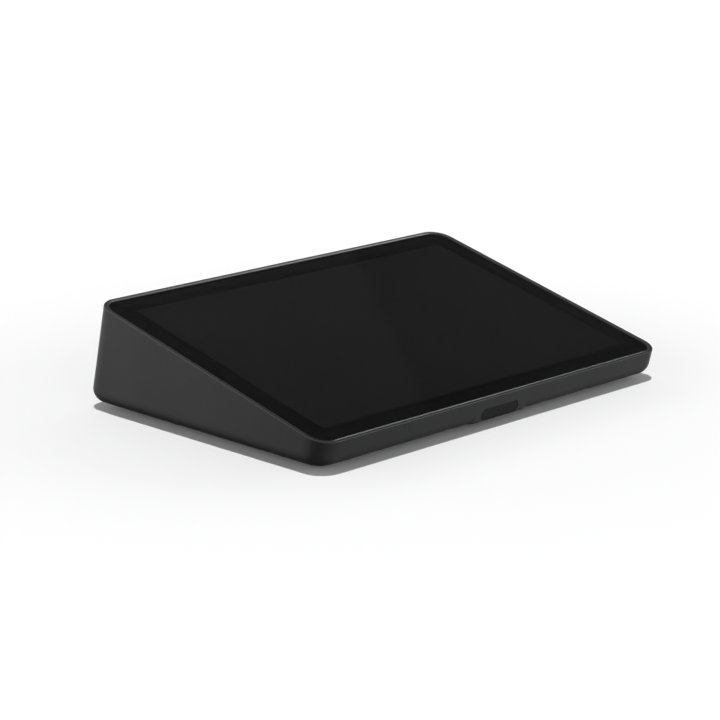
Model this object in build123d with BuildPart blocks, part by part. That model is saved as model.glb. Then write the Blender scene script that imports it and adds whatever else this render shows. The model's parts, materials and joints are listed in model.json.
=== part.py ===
from build123d import *
from math import cos, radians, sin, sqrt, tan
from typing import NamedTuple
import os

# Tabletop touch console. A drafted wedge housing holds a tilted glass screen. Its front wall
# has a proximity sensor window, and its floor has a speaker grille, four mounting inserts,
# four rubber feet and a cable bay closed by a hinged door.
#
# Millimetres. +X is to the right, +Y to the back and +Z up. The origin is the middle of the
# footprint, on the table that the feet stand on.

# ---------------------------------------------------------------- driving dimensions
# Wedge housing
screen_width = 242.0  # across the rim
screen_depth = 161.7  # up the slope, across the rim
corner_radius = 11.0
tilt = 14.0  # degrees from level
front_height = 15.1  # table to the front edge of the rim
ground_gap = 2.5  # table to the underside of the housing
draft = 0.75  # degrees, the walls close in away from the rim
wall = 2.35
floor_thickness = 2.2
base_round = 6.8
rim_round = 0.5
rim_bevel = 0.8  # width of the bevel that falls from the rim to the glass

# Screen stack, from the rim plane inwards
glass_recess = 0.4
glass_thickness = 1.1
glass_gap = 0.25
glass_edge_round = 0.3
mask_thickness = 0.1
gasket_thickness = 0.4
gasket_inset = 0.8
side_border = 14.5  # rim's outer edge to the picture, left and right
end_border = 14.35  # and at the front and back
lcd_border = 4.5
lcd_thickness = 1.5
tray_thickness = 3.6
panel_gap = 0.4
frame_gap = 0.3
backplate_thickness = 1.0
tray_round = 1.0
backplate_lap = 4.5  # past the panel, onto the display frame
backplate_round = 3.0
backplate_screw_share = 0.68  # screw span across, of the backplate's width
backplate_screw_edge = 2.0  # screw line outside the frame's opening
bead_height = 0.8
bead_width = 6.0
bead_pitch = 38.0
bead_share = 0.8  # bead length, of the panel's width
bead_taper = 30.0

# Frame screws and the bosses under them
frame_screw_edge = 3.5  # screw line inside the frame's outer edge
frame_screw_inset = 13.3  # end screws from the frame's sides
frame_screw_share = 0.32  # between the two inner screws of a row, of the frame's width
frame_head_depth = 2.0
boss_diameter = 6.0
rib_thickness = 1.6
side_rib_pitch = 30.0
side_rib_count = 4
side_rib_reach = 2.6

# Screws, as shank diameter
screw_diameter = 2.5
small_screw_diameter = 1.6
small_screw_length = 3.0
head_ratio = 1.85  # head to shank diameter
head_height_ratio = 0.6  # head height to shank diameter
screw_bite = 3.6  # into its boss
pilot_clearance = 0.05  # screw to its pilot hole, radial
pilot_spare = 0.8  # hole below the screw's tip
speaker_screw_bite = 2.0
speaker_pilot_depth = 2.6
hole_clearance = 0.2  # screw to the hole it passes through, radial

# Proximity sensor in the front wall
window_width = 26.6
window_height = 6.1
window_drop = 8.5  # from the rim's front edge down the wall to the window's middle
window_thickness = 1.3
window_recess = 0.15
window_gap = 0.1
aperture_width = 19.0
aperture_height = 2.4
pad_width = 37.0
pad_flank = 10.0
pad_flank_depth = 7.0
pad_blend = 5.0
pad_lift = 0.9  # the pad's lower edge above the housing's underside
pad_edge_round = 0.7
sensor_board_width = 30.0
sensor_board_height = 3.4
sensor_board_thickness = 1.0
shroud_depth = 1.4
shroud_rim = 2.5
shroud_lip = 0.7
sensor_gap = 0.15
sensor_chip_width = 4.4
sensor_chip_height = 1.7
sensor_chip_thickness = 1.0

# Feet
foot_length = 38.0
foot_width = 9.0
foot_seat = 0.8
foot_inset_side = 35.0
foot_inset_front = 17.6
foot_inset_back = 15.6
foot_gap = 0.1
foot_edge_round = 0.6

# Threaded mounting inserts
mount_spacing = 75.0
mount_inset = 73.6  # the pattern's middle from the housing's front
insert_diameter = 5.6
insert_length = 8.0
insert_bore = 3.3
insert_boss_wall = 1.8
insert_cap = 0.5

# Main board
board_depth = 72.5
board_side_gap = 3.0  # to the speaker's box
board_thickness = 1.6
board_level = 11.5  # its underside, above the table
board_inset = 5.0  # mounting holes to its edges
board_round = 2.0
standoff_diameter = 6.0
memory_width = 12.0
memory_depth = 10.0
memory_pitch = 16.0
coil_pitch = 10.0
coil_size = 6.5
chip_thickness = 1.2
chip_gap = 1.5
shield_size = 34.0
shield_height = 2.6
shield_edge = 0.5
thermal_pad_size = 24.0
thermal_pad_thickness = 1.0
spreader_width = 76.0
spreader_depth = 40.0
spreader_thickness = 1.5
spreader_round = 3.0
spreader_leg = 6.0
spreader_inset = 14.5  # its back edge from the board's

# Ribbons and their connectors on the main board
ribbon_thickness = 0.3
ribbon_gap = 0.2
ribbon_bend = 1.0
ribbon_slack = 2.5  # between a ribbon's rise and its connector
connector_height = 1.8
connector_depth = 4.0
connector_lap = 1.5  # past the ribbon, each side
connector_inset = 12.0  # display connectors from the board's front edge
sensor_connector_inset = 3.5
sensor_ribbon_width = 6.0
sensor_ribbon_lead = 2.75
display_ribbon_width = 20.0
display_ribbon_x = -32.0
display_ribbon_run = 26.0  # along the backplate
touch_ribbon_width = 8.0
touch_ribbon_x = 12.0

# Cable bay, its door and the cable outlet
bay_width = 96.0
bay_to_mount = 5.5  # the bay's front from the rear inserts' axes
bay_inset = 7.6  # the bay's back from the housing's back
bay_ceiling = 24.0  # above the table
bay_wall = 2.0
board_to_bay = 0.5
door_thickness = 2.0
door_gap = 0.3
hinge_pin_diameter = 2.4
hinge_pin_length = 1.7
hinge_clearance = 0.05
hinge_barrel_radius = 2.0
ledge_width = 1.5
ledge_thickness = 1.5
magnet_diameter = 6.0
door_magnet_thickness = 1.4
catch_magnet_thickness = 2.0
magnet_inset_x = 8.0  # from the bay's side
magnet_inset_y = 5.0  # from the bay's back
catch_wall = 1.5
catch_cap = 1.0
ledge_share = 0.7  # ledge length, of the bay's depth
door_rib_thickness = 2.0
door_rib_height = 1.2
door_rib_share = 0.5  # rib length, of the bay's depth
door_rib_pitch = 57.0
finger_radius = 7.0
outlet_width = 30.0
outlet_height = 9.0
outlet_round = 3.0
clamp_length = 48.0
clamp_width = 7.0
clamp_thickness = 5.0
clamp_level = 12.5
clamp_post_pitch = 38.0
clamp_groove = 6.0
clamp_groove_pitch = 8.5
clamp_setback = 2.5  # from the bay's back wall
clamp_round = 2.0

# Connectors on the board's back edge
port_gap = 0.3
port_setback = 0.3  # mouth behind the bay wall's face
audio_x = 26.0
audio_width = 7.0
audio_height = 6.0
audio_depth = 13.0
audio_nose = 6.0
audio_bore = 3.6


class Port(NamedTuple):
    """Sizes of a metal-shelled socket on the board's back edge."""

    x: float
    width: float
    height: float
    depth: float
    corner: float
    shell: float
    tongue_width: float
    tongue_height: float


ports = {
    "usb_c_port": Port(
        x=-36.0, width=9.0, height=3.3, depth=8.0, corner=1.6,
        shell=0.35, tongue_width=6.6, tongue_height=0.7,
    ),
    "hdmi_port": Port(
        x=-15.0, width=15.0, height=6.0, depth=11.0, corner=1.2,
        shell=0.5, tongue_width=11.0, tongue_height=1.4,
    ),
    "usb_a_port": Port(
        x=8.0, width=13.2, height=5.8, depth=14.0, corner=0.6,
        shell=0.4, tongue_width=11.0, tongue_height=1.8,
    ),
}

# Reset button
button_x = 40.0
button_diameter = 4.0
button_travel = 0.8
button_clearance = 0.08
button_flange = 0.8
button_proud = 0.3
button_edge = 0.3
button_level = 3.2  # its axis above the board
switch_size = 4.6
switch_depth = 3.2

# Speaker, firing down through the floor
speaker_offset = 13.0  # its axis in front of the bay
speaker_bay_gap = 8.0
speaker_wall_gap = 6.65
cone_gap = 0.3
cone_travel = 0.6
cone_skin = 0.5
surround_width = 3.6
coil_wall = 0.4
coil_gap = 0.3
coil_engagement = 2.6  # voice coil former inside the magnet's groove
basket_flange = 4.0
basket_flange_thickness = 1.8
basket_height = 5.6
basket_skin = 1.0
basket_fit = 0.2  # flange to the box's inside
basket_window_length = 9.0
basket_window_width = 7.0
box_extra_depth = 10.0  # deeper than wide
box_wall = 1.8
box_clearance = 1.5  # under the display's back
box_round = 4.0
box_lug = 7.0
speaker_gasket_thickness = 0.6
mesh_thickness = 0.4
grille_slot = 2.4
grille_pitch = 5.0
grille_share = 0.87  # grille radius, of the cone's
mesh_margin = 2.0  # dust mesh past the grille
mesh_gap = 0.1
magnet_share = 0.68  # magnet radius, of the cone's
magnet_clearance = 0.8  # under the box's lid
magnet_yoke = 1.2
coil_share = 0.39  # voice coil radius, of the cone's

# Weights, power board, antennas and lock plate
weight_length = 78.0
weight_width = 17.0
weight_thickness = 4.0
weight_round = 2.0
weight_screw_share = 0.7  # screw span, of the weight's length
weight_inset_side = 63.0
weight_inset_front = 22.1
power_board_depth = 58.0
power_board_offset = 18.0  # its middle in front of the bay
power_board_bay_gap = 12.0
power_board_wall_gap = 8.65
power_board_level = 9.0
choke_size = 12.0
choke_pitch = 16.0
choke_height = 5.0
choke_offset = -11.0
capacitor_radius = 4.0
capacitor_pitch = 11.0
capacitor_height = 9.0
capacitor_offset = 10.0
antenna_length = 40.0
antenna_width = 8.0
antenna_thickness = 0.3
antenna_gap = 1.1  # to the boss beside it
antenna_drop = 16.0
lock_inset = 26.0
lock_level = 17.2  # above the table
lock_slot_length = 7.0
lock_slot_width = 3.0
lock_plate_thickness = 1.5
lock_plate_round = 1.5

# ---------------------------------------------------------------- derived places
slope = radians(tilt)
front_lean = radians(tilt + draft)
rear_lean = radians(tilt - draft)
plan_depth = screen_depth * cos(slope)
rear_height = front_height + screen_depth * sin(slope)
screen_z = (front_height + rear_height) / 2
floor_top = ground_gap + floor_thickness

front_reach = plan_depth / 2 - rim_round * (sin(slope) + cos(front_lean) - 1)
rear_drop = rear_height - ground_gap - base_round
rear_reach = plan_depth / 2 + rear_drop * tan(rear_lean) + base_round * (1 - 1 / cos(rear_lean))
screen_y = (front_reach - rear_reach) / 2
half_plan = (front_reach + rear_reach) / 2
half_width = screen_width / 2
rim_front_y = screen_y - plan_depth / 2
rim_back_y = screen_y + plan_depth / 2

mount_y = mount_inset - half_plan
bay_front_y = mount_y + mount_spacing / 2 + bay_to_mount
bay_back_y = half_plan - bay_inset
bay_side = bay_width / 2 + bay_wall
foot_x = half_width - foot_inset_side
foot_front_y = foot_inset_front - half_plan
foot_back_y = half_plan - foot_inset_back
lock_x = half_width - lock_inset
lock_drop = (rear_height - lock_level) / cos(rear_lean)

screen_plane = Plane(origin=(0, screen_y, screen_z), x_dir=(1, 0, 0), z_dir=(0, -sin(slope), cos(slope)))

# The front wall: +X to the right, +Y up the wall, +Z outwards, centred on the window
window_plane = Plane(
    origin=(
        0,
        rim_front_y + window_drop * sin(front_lean),
        front_height - window_drop * cos(front_lean),
    ),
    x_dir=(1, 0, 0),
    z_dir=(0, -cos(front_lean), -sin(front_lean)),
)
# The back wall: +X to the right, +Y up the wall, +Z inwards, from the rim's back edge
rear_plane = Plane(
    origin=(0, rim_back_y, rear_height),
    x_dir=(1, 0, 0),
    z_dir=(0, -cos(rear_lean), -sin(rear_lean)),
)

active_width = screen_width - 2 * side_border
active_depth = screen_depth - 2 * end_border
lcd_width = active_width + 2 * lcd_border
lcd_depth = active_depth + 2 * lcd_border
glass_back = glass_recess + glass_thickness
mask_back = glass_back + mask_thickness
frame_front = mask_back + gasket_thickness
tray_back = mask_back + lcd_thickness + tray_thickness
frame_thickness = tray_back - frame_front
backplate_back = tray_back + backplate_thickness

head_diameter = screw_diameter * head_ratio


def opening_size(depth, gap=0.0):
    """Width, depth and corner radius of the housing's mouth, this far below the rim plane."""
    inset = 2 * (wall + depth * tan(radians(draft)) + gap)
    return screen_width - inset, screen_depth - inset, corner_radius - wall - gap


def under_display(y):
    """Height of the backplate's underside above the table, at this y."""
    return screen_z + (y - screen_y) * tan(slope) - backplate_back / cos(slope)


def wedge(inset, level, level_round, rise=0.0):
    """Drafted block under the screen, cut level at the bottom and rounded there."""
    top_inset = inset - rise * tan(radians(draft))
    with BuildPart() as block:
        with BuildSketch(screen_plane.offset(rise)):
            RectangleRounded(
                screen_width - 2 * top_inset, screen_depth - 2 * top_inset, corner_radius - top_inset
            )
        extrude(amount=-(rear_height + rise), taper=draft)
        split(bisect_by=Plane.XY.offset(level), keep=Keep.TOP)
        fillet(block.faces().sort_by(Axis.Z)[0].edges(), level_round)
    return block.part


def screw(diameter, length):
    """Cheese-head screw, its head standing on z = 0 and its shank pointing down."""
    radius = diameter / 2
    head_radius = radius * head_ratio
    head = diameter * head_height_ratio
    with BuildPart() as blank:
        with BuildSketch(Plane.XZ):
            with BuildLine():
                Polyline(
                    (0, -length), (radius, -length), (radius, 0), (head_radius, 0),
                    (head_radius, head), (0, head), close=True,
                )
            make_face()
        revolve(axis=Axis.Z)
    return blank.part


def save(part, name):
    """Label the finished piece and write its STEP file."""
    part.label = name
    export_step(part, f"parts/{name}.step")


os.makedirs("parts", exist_ok=True)

# ---------------------------------------------------------------- places shared by pieces
frame_width, frame_depth, frame_radius = opening_size(frame_front, frame_gap)
frame_screw_x = (frame_width / 2 - frame_screw_inset, frame_width * frame_screw_share / 2)
frame_screw_points = [
    (end * x, side * (frame_depth / 2 - frame_screw_edge))
    for x in frame_screw_x
    for end in (-1, 1)
    for side in (-1, 1)
]
frame_screw_length = frame_thickness - frame_head_depth + screw_bite

backplate_width = lcd_width + 2 * backplate_lap
backplate_depth = lcd_depth + 2 * backplate_lap
backplate_screw_x = backplate_width * backplate_screw_share / 2
backplate_screw_y = lcd_depth / 2 + panel_gap + backplate_screw_edge
backplate_screw_points = [(x * backplate_screw_x, y * backplate_screw_y) for x in (-1, 1) for y in (-1, 1)]

mount_points = [
    (x * mount_spacing / 2, mount_y + y * mount_spacing / 2) for x in (-1, 1) for y in (-1, 1)
]
insert_top = ground_gap + insert_length

bay_middle_y = (bay_front_y + bay_back_y) / 2
bay_length = bay_back_y - bay_front_y
board_back_y = bay_front_y - bay_wall - board_to_bay
board_front_y = board_back_y - board_depth
board_width = 2 * (bay_side + speaker_bay_gap - board_side_gap)
board_y = (board_back_y + board_front_y) / 2
board_top = board_level + board_thickness
memory_x = shield_size / 2 + chip_gap + memory_width / 2
coil_x = board_width / 2 - board_inset - coil_size / 2
spreader_y = board_back_y - spreader_inset - spreader_depth / 2
board_screw_points = [
    (x * (board_width / 2 - board_inset), y)
    for x in (-1, 1)
    for y in (board_front_y + board_inset, board_back_y - board_inset)
]
power_board_width = half_width - wall - power_board_wall_gap - bay_side - power_board_bay_gap
power_board_x = -(bay_side + power_board_bay_gap + power_board_width / 2)
power_board_y = bay_front_y - power_board_offset
power_screw_points = [
    (
        power_board_x + x * (power_board_width / 2 - board_inset),
        power_board_y + y * (power_board_depth / 2 - board_inset),
    )
    for x in (-1, 1)
    for y in (-1, 1)
]
weight_x = half_width - weight_inset_side
weight_y = weight_inset_front - half_plan
weight_screw_reach = weight_length * weight_screw_share / 2
weight_screw_points = [
    (side * weight_x + end * weight_screw_reach, weight_y) for side in (-1, 1) for end in (-1, 1)
]
clamp_y = bay_back_y - clamp_setback - clamp_width / 2
clamp_points = [(side * clamp_post_pitch / 2, clamp_y) for side in (-1, 1)]
clamp_post_bottom = clamp_level + clamp_thickness

hinge_y = bay_front_y + door_gap + hinge_barrel_radius
hinge_z = ground_gap + hinge_barrel_radius
door_top = ground_gap + door_thickness
ledge_bottom = door_top + door_gap
magnet_points = [
    (side * (bay_width / 2 - magnet_inset_x), bay_back_y - magnet_inset_y) for side in (-1, 1)
]
catch_reach_x = magnet_inset_x + magnet_diameter / 2 + catch_wall
catch_reach_y = magnet_inset_y + magnet_diameter / 2 + catch_wall
catch_height = catch_magnet_thickness + catch_cap
tunnel_length = half_plan - bay_back_y

box_width = half_width - wall - speaker_wall_gap - bay_side - speaker_bay_gap
box_depth = box_width + box_extra_depth
speaker_x = bay_side + speaker_bay_gap + box_width / 2
speaker_y = bay_front_y - speaker_offset
cone_radius = box_width / 2 - box_wall - basket_fit - basket_flange - cone_gap
grille_radius = cone_radius * grille_share
magnet_radius = cone_radius * magnet_share
coil_radius = cone_radius * coil_share
box_top = under_display(speaker_y - box_depth / 2) - box_clearance
speaker_gasket_top = floor_top + mesh_thickness + speaker_gasket_thickness
baffle_top = speaker_gasket_top + box_wall
flange_top = baffle_top + basket_flange_thickness
basket_top = flange_top + basket_height
magnet_height = box_top - box_wall - magnet_clearance - basket_top
flange_radius = cone_radius + cone_gap + basket_flange
mesh_radius = grille_radius + mesh_margin
speaker_screw_points = [
    (speaker_x, speaker_y + end * (box_depth / 2 + box_lug / 2)) for end in (-1, 1)
]
foot_points = {
    "foot_front_left": (-foot_x, foot_front_y),
    "foot_front_right": (foot_x, foot_front_y),
    "foot_back_left": (-foot_x, foot_back_y),
    "foot_back_right": (foot_x, foot_back_y),
}

pocket_rise = sensor_board_height / 2
bay_wall_y = bay_front_y - bay_wall
port_mouth_y = bay_front_y - port_setback


def port_plane(y):
    """Plane across the bay wall at this y, facing the bay, with its origin on the board."""
    return Plane(origin=(0, y, board_top), x_dir=(-1, 0, 0), z_dir=(0, 1, 0))


# ---------------------------------------------------------------- housing
# Pad around the sensor window: the front wall runs on straight down to its lower edge
pad_plane = Plane(
    origin=(0, rim_front_y, front_height),
    x_dir=(1, 0, 0),
    z_dir=(0, sin(front_lean), -cos(front_lean)),
)
with BuildPart() as window_pad:
    with BuildSketch(pad_plane.offset(window_drop / 2)) as pad_outline:
        with BuildLine():
            Polyline(
                (-pad_width / 2 - pad_flank, -pad_flank_depth),
                (-pad_width / 2, 0),
                (pad_width / 2, 0),
                (pad_width / 2 + pad_flank, -pad_flank_depth),
                close=True,
            )
        make_face()
        fillet(pad_outline.vertices().group_by(Axis.Y)[-1], pad_blend)
    extrude(amount=window_drop + window_height)
    split(bisect_by=Plane.XY.offset(ground_gap + pad_lift), keep=Keep.TOP)
    pad_underside = window_pad.faces().sort_by(Axis.Z)[0]
    fillet(pad_underside.edges().sort_by(Axis.Y)[0:3], pad_edge_round)

# Bosses and ribs that carry the display frame, drawn along the screen's normal
with BuildPart() as frame_supports:
    with BuildSketch(screen_plane.offset(-tray_back)):
        with Locations(*frame_screw_points):
            Circle(boss_diameter / 2)
        for x, y in frame_screw_points:
            side = 1 if y > 0 else -1
            with Locations((x, y + side * boss_diameter / 2)):
                Rectangle(rib_thickness, boss_diameter)
        for side in (-1, 1):
            with Locations((side * (frame_width / 2 - side_rib_reach / 2 + frame_gap + wall / 4), 0)):
                with GridLocations(0, side_rib_pitch, 1, side_rib_count):
                    Rectangle(side_rib_reach + wall / 2, rib_thickness)
    extrude(amount=-rear_height)
    add(wedge(wall / 2, ground_gap + floor_thickness / 2, base_round - wall), mode=Mode.INTERSECT)

outer_form = wedge(0, ground_gap, base_round)
cavity_form = wedge(wall, floor_top, base_round - wall, rise=rim_round)
filled_form = wedge(wall / 2, ground_gap, base_round)

# Cable bay walls, cable outlet tunnel and everything that stands on the floor
with BuildPart() as floor_features:
    with BuildSketch(Plane.XY.offset(ground_gap)):
        with Locations((0, bay_middle_y)):
            Rectangle(bay_width + 2 * bay_wall, bay_length + 2 * bay_wall)
    extrude(amount=bay_ceiling + bay_wall - ground_gap)
    with BuildSketch(Plane.XY.offset(ground_gap)):
        with Locations((0, bay_back_y)):
            Rectangle(outlet_width + 2 * bay_wall, 2 * tunnel_length)
    extrude(amount=outlet_height + bay_wall)
    with BuildSketch(Plane.XY.offset(ground_gap)):
        with Locations(*mount_points):
            Circle(insert_diameter / 2 + insert_boss_wall)
    extrude(amount=insert_length + insert_cap)
    with BuildSketch(Plane.XY.offset(ground_gap)):
        with Locations(*board_screw_points):
            Circle(standoff_diameter / 2)
    extrude(amount=board_level - ground_gap)
    with BuildSketch(Plane.XY.offset(ground_gap)):
        with Locations(*power_screw_points):
            Circle(standoff_diameter / 2)
    extrude(amount=power_board_level - ground_gap)
    with BuildSketch(Plane.XY.offset(ground_gap)):
        with Locations(*weight_screw_points):
            Circle(standoff_diameter / 2)
    extrude(amount=floor_thickness + weight_thickness)
    with BuildSketch(Plane.XY.offset(ground_gap)):
        with Locations(*speaker_screw_points):
            Circle(standoff_diameter / 2)
    extrude(amount=baffle_top - box_wall - ground_gap)
    add(filled_form, mode=Mode.INTERSECT)

with BuildPart() as housing:
    add(outer_form)
    rim_face = housing.faces().sort_by(Axis(origin=(0, 0, 0), direction=screen_plane.z_dir))[-1]
    fillet(rim_face.edges(), rim_round)
    add(cavity_form, mode=Mode.SUBTRACT)
    rim_face = housing.faces().sort_by(Axis(origin=(0, 0, 0), direction=screen_plane.z_dir))[-1]
    chamfer(rim_face.inner_wires()[0].edges(), rim_bevel, glass_recess, reference=rim_face)
    add(window_pad.part)
    add(cavity_form, mode=Mode.SUBTRACT)
    add(frame_supports.part)
    add(floor_features.part)

    # Bay, open downwards, with its outlet through the back wall
    with BuildSketch(Plane.XY):
        with Locations((0, bay_middle_y)):
            Rectangle(bay_width, bay_length)
    extrude(amount=bay_ceiling, mode=Mode.SUBTRACT)
    with BuildSketch(Plane.XZ.offset(-bay_back_y + bay_wall)):
        with Locations((0, ground_gap + outlet_height / 2 - outlet_round)):
            RectangleRounded(outlet_width, outlet_height + 2 * outlet_round, outlet_round)
    extrude(amount=-(tunnel_length + 2 * bay_wall), mode=Mode.SUBTRACT)

    # Ledges that stop the door, the two magnet blocks and the clamp posts
    for side in (-1, 1):
        with BuildSketch(Plane.XY.offset(ledge_bottom)):
            with Locations((side * (bay_width - ledge_width) / 2, bay_middle_y)):
                Rectangle(ledge_width, bay_length * ledge_share)
        extrude(amount=ledge_thickness)
        with BuildSketch(Plane.XY.offset(ledge_bottom)):
            with Locations((side * (bay_width - catch_reach_x) / 2, bay_back_y - catch_reach_y / 2)):
                Rectangle(catch_reach_x, catch_reach_y)
        extrude(amount=catch_height)
    with BuildSketch(Plane.XY.offset(ledge_bottom)):
        with Locations(*magnet_points):
            Circle(magnet_diameter / 2)
    extrude(amount=catch_magnet_thickness, mode=Mode.SUBTRACT)
    with BuildSketch(Plane.XY.offset(clamp_post_bottom)):
        with Locations(*clamp_points):
            Circle(boss_diameter / 2)
    extrude(amount=bay_ceiling - clamp_post_bottom)

    # Hinge sockets in the bay's side walls
    with BuildSketch(Plane.YZ):
        with Locations((hinge_y, hinge_z)):
            Circle(hinge_pin_diameter / 2 + hinge_clearance)
    extrude(amount=bay_width / 2 + hinge_pin_length, both=True, mode=Mode.SUBTRACT)

    # Connector and button openings in the bay's front wall
    for port in ports.values():
        with BuildSketch(port_plane(bay_wall_y)):
            with Locations((-port.x, port.height / 2)):
                RectangleRounded(
                    port.width + 2 * port_gap, port.height + 2 * port_gap, port.corner + port_gap
                )
        extrude(amount=bay_wall, mode=Mode.SUBTRACT)
    with BuildSketch(port_plane(bay_wall_y)):
        with Locations((-audio_x, audio_nose / 2)):
            Circle(audio_nose / 2 + port_gap)
        with Locations((-button_x, button_level)):
            Circle(button_diameter / 2 + button_clearance)
    extrude(amount=bay_wall, mode=Mode.SUBTRACT)

    # Window seat, light aperture and the pocket for the sensor board, with room above to tip it in
    with BuildSketch(window_plane):
        SlotOverall(window_width, window_height)
    extrude(amount=-(window_thickness + window_recess), mode=Mode.SUBTRACT)
    with BuildSketch(window_plane.offset(-wall)):
        with Locations((0, pocket_rise / 2)):
            Rectangle(sensor_board_width + 2 * sensor_gap, sensor_board_height + pocket_rise + 2 * sensor_gap)
    extrude(amount=-(shroud_depth + sensor_board_thickness + sensor_gap), mode=Mode.SUBTRACT)
    with BuildSketch(window_plane):
        SlotOverall(aperture_width, aperture_height)
    extrude(amount=-2 * wall, mode=Mode.SUBTRACT)

    # Underside: foot seats, insert holes and the speaker grille
    with BuildSketch(Plane.XY.offset(ground_gap)):
        with Locations(*foot_points.values()):
            SlotOverall(foot_length + 2 * foot_gap, foot_width + 2 * foot_gap)
    extrude(amount=foot_seat, mode=Mode.SUBTRACT)
    with BuildSketch(Plane.XY.offset(ground_gap)):
        with Locations(*mount_points):
            Circle(insert_diameter / 2)
    extrude(amount=insert_length, mode=Mode.SUBTRACT)
    with BuildSketch(Plane.XY.offset(ground_gap)):
        rows = int(grille_radius // grille_pitch)
        for row in range(-rows, rows + 1):
            offset_y = row * grille_pitch
            with Locations((speaker_x, speaker_y + offset_y)):
                SlotOverall(2 * sqrt(grille_radius**2 - offset_y**2), grille_slot)
    extrude(amount=floor_thickness, mode=Mode.SUBTRACT)

    # Pilot holes
    with Locations(screen_plane.offset(-tray_back)):
        with Locations(*frame_screw_points):
            Hole(screw_diameter / 2 + pilot_clearance, depth=screw_bite + pilot_spare)
    with Locations(Plane.XY.offset(board_level)):
        with Locations(*board_screw_points):
            Hole(screw_diameter / 2 + pilot_clearance, depth=screw_bite + pilot_spare)
    with Locations(Plane.XY.offset(power_board_level)):
        with Locations(*power_screw_points):
            Hole(screw_diameter / 2 + pilot_clearance, depth=screw_bite + pilot_spare)
    with Locations(Plane.XY.offset(floor_top + weight_thickness)):
        with Locations(*weight_screw_points):
            Hole(screw_diameter / 2 + pilot_clearance, depth=screw_bite + pilot_spare)
    with Locations(Plane.XY.offset(baffle_top - box_wall)):
        with Locations(*speaker_screw_points):
            Hole(screw_diameter / 2 + pilot_clearance, depth=speaker_pilot_depth)
    with Locations(Plane.XY.offset(clamp_post_bottom).rotated((180, 0, 0))):
        with Locations(*[(x, -y) for x, y in clamp_points]):
            Hole(screw_diameter / 2 + pilot_clearance, depth=screw_bite + pilot_spare)

    # Lock slot in the back wall
    with BuildSketch(rear_plane):
        with Locations((lock_x, -lock_drop)):
            SlotOverall(lock_slot_length, lock_slot_width)
    extrude(amount=wall, both=True, mode=Mode.SUBTRACT)

save(housing.part, "housing")

# ---------------------------------------------------------------- screen stack
glass_width, glass_depth, glass_radius = opening_size(glass_recess, glass_gap)
with BuildPart() as cover_glass:
    with BuildSketch(screen_plane.offset(-glass_recess)):
        RectangleRounded(glass_width, glass_depth, glass_radius)
    extrude(amount=-glass_thickness)
    glass_top = cover_glass.faces().sort_by(Axis(origin=(0, 0, 0), direction=screen_plane.z_dir))[-1]
    chamfer(glass_top.edges(), glass_edge_round)
save(cover_glass.part, "cover_glass")

with BuildPart() as glass_mask:
    with BuildSketch(screen_plane.offset(-glass_back)):
        RectangleRounded(glass_width - 2 * glass_gap, glass_depth - 2 * glass_gap, glass_radius - glass_gap)
        Rectangle(active_width, active_depth, mode=Mode.SUBTRACT)
    extrude(amount=-mask_thickness)
save(glass_mask.part, "glass_mask")

with BuildPart() as glass_gasket:
    with BuildSketch(screen_plane.offset(-mask_back)):
        RectangleRounded(
            glass_width - 2 * gasket_inset, glass_depth - 2 * gasket_inset, glass_radius - gasket_inset
        )
        Rectangle(lcd_width + 2 * gasket_inset, lcd_depth + 2 * gasket_inset, mode=Mode.SUBTRACT)
    extrude(amount=-gasket_thickness)
save(glass_gasket.part, "glass_gasket")

with BuildPart() as lcd_panel:
    with BuildSketch(screen_plane.offset(-mask_back)):
        Rectangle(lcd_width, lcd_depth)
    extrude(amount=-lcd_thickness)
save(lcd_panel.part, "lcd_panel")

with BuildPart() as backlight_tray:
    with BuildSketch(screen_plane.offset(-mask_back - lcd_thickness)):
        RectangleRounded(lcd_width, lcd_depth, tray_round)
    extrude(amount=-tray_thickness)
save(backlight_tray.part, "backlight_tray")

with BuildPart() as display_frame:
    with BuildSketch(screen_plane.offset(-frame_front)):
        RectangleRounded(frame_width, frame_depth, frame_radius)
    extrude(amount=-frame_thickness, taper=draft)
    with BuildSketch(screen_plane.offset(-frame_front)):
        RectangleRounded(lcd_width + 2 * panel_gap, lcd_depth + 2 * panel_gap, tray_round + panel_gap)
    extrude(amount=-frame_thickness, mode=Mode.SUBTRACT)
    with Locations(screen_plane.offset(-frame_front)):
        with Locations(*frame_screw_points):
            CounterBoreHole(
                screw_diameter / 2 + hole_clearance, head_diameter / 2 + hole_clearance, frame_head_depth
            )
    with Locations(screen_plane.offset(-tray_back).rotated((180, 0, 0))):
        with Locations(*[(x, -y) for x, y in backplate_screw_points]):
            Hole(small_screw_diameter / 2 + pilot_clearance, depth=small_screw_length)
save(display_frame.part, "display_frame")

frame_screw = screw(screw_diameter, frame_screw_length)
with BuildPart() as frame_screws:
    with Locations(screen_plane.offset(-frame_front - frame_head_depth)):
        with Locations(*frame_screw_points):
            add(frame_screw)
save(frame_screws.part, "frame_screws")

with BuildPart() as display_backplate:
    with BuildSketch(screen_plane.offset(-tray_back)):
        RectangleRounded(backplate_width, backplate_depth, backplate_round)
        with Locations(*frame_screw_points):
            Circle(boss_diameter / 2 + frame_gap + rib_thickness / 4, mode=Mode.SUBTRACT)
        with Locations(*backplate_screw_points):
            Circle(small_screw_diameter / 2 + hole_clearance, mode=Mode.SUBTRACT)
    extrude(amount=-backplate_thickness)
    with BuildSketch(screen_plane.offset(-backplate_back)):
        with Locations((0, bead_pitch / 2)):
            with GridLocations(0, bead_pitch, 1, 2):
                SlotOverall(lcd_width * bead_share, bead_width)
    extrude(amount=-bead_height, taper=bead_taper)
save(display_backplate.part, "display_backplate")

small_screw = screw(small_screw_diameter, small_screw_length)
with BuildPart() as backplate_screws:
    with Locations(screen_plane.offset(-backplate_back).rotated((180, 0, 0))):
        with Locations(*[(x, -y) for x, y in backplate_screw_points]):
            add(small_screw)
save(backplate_screws.part, "backplate_screws")

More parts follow.
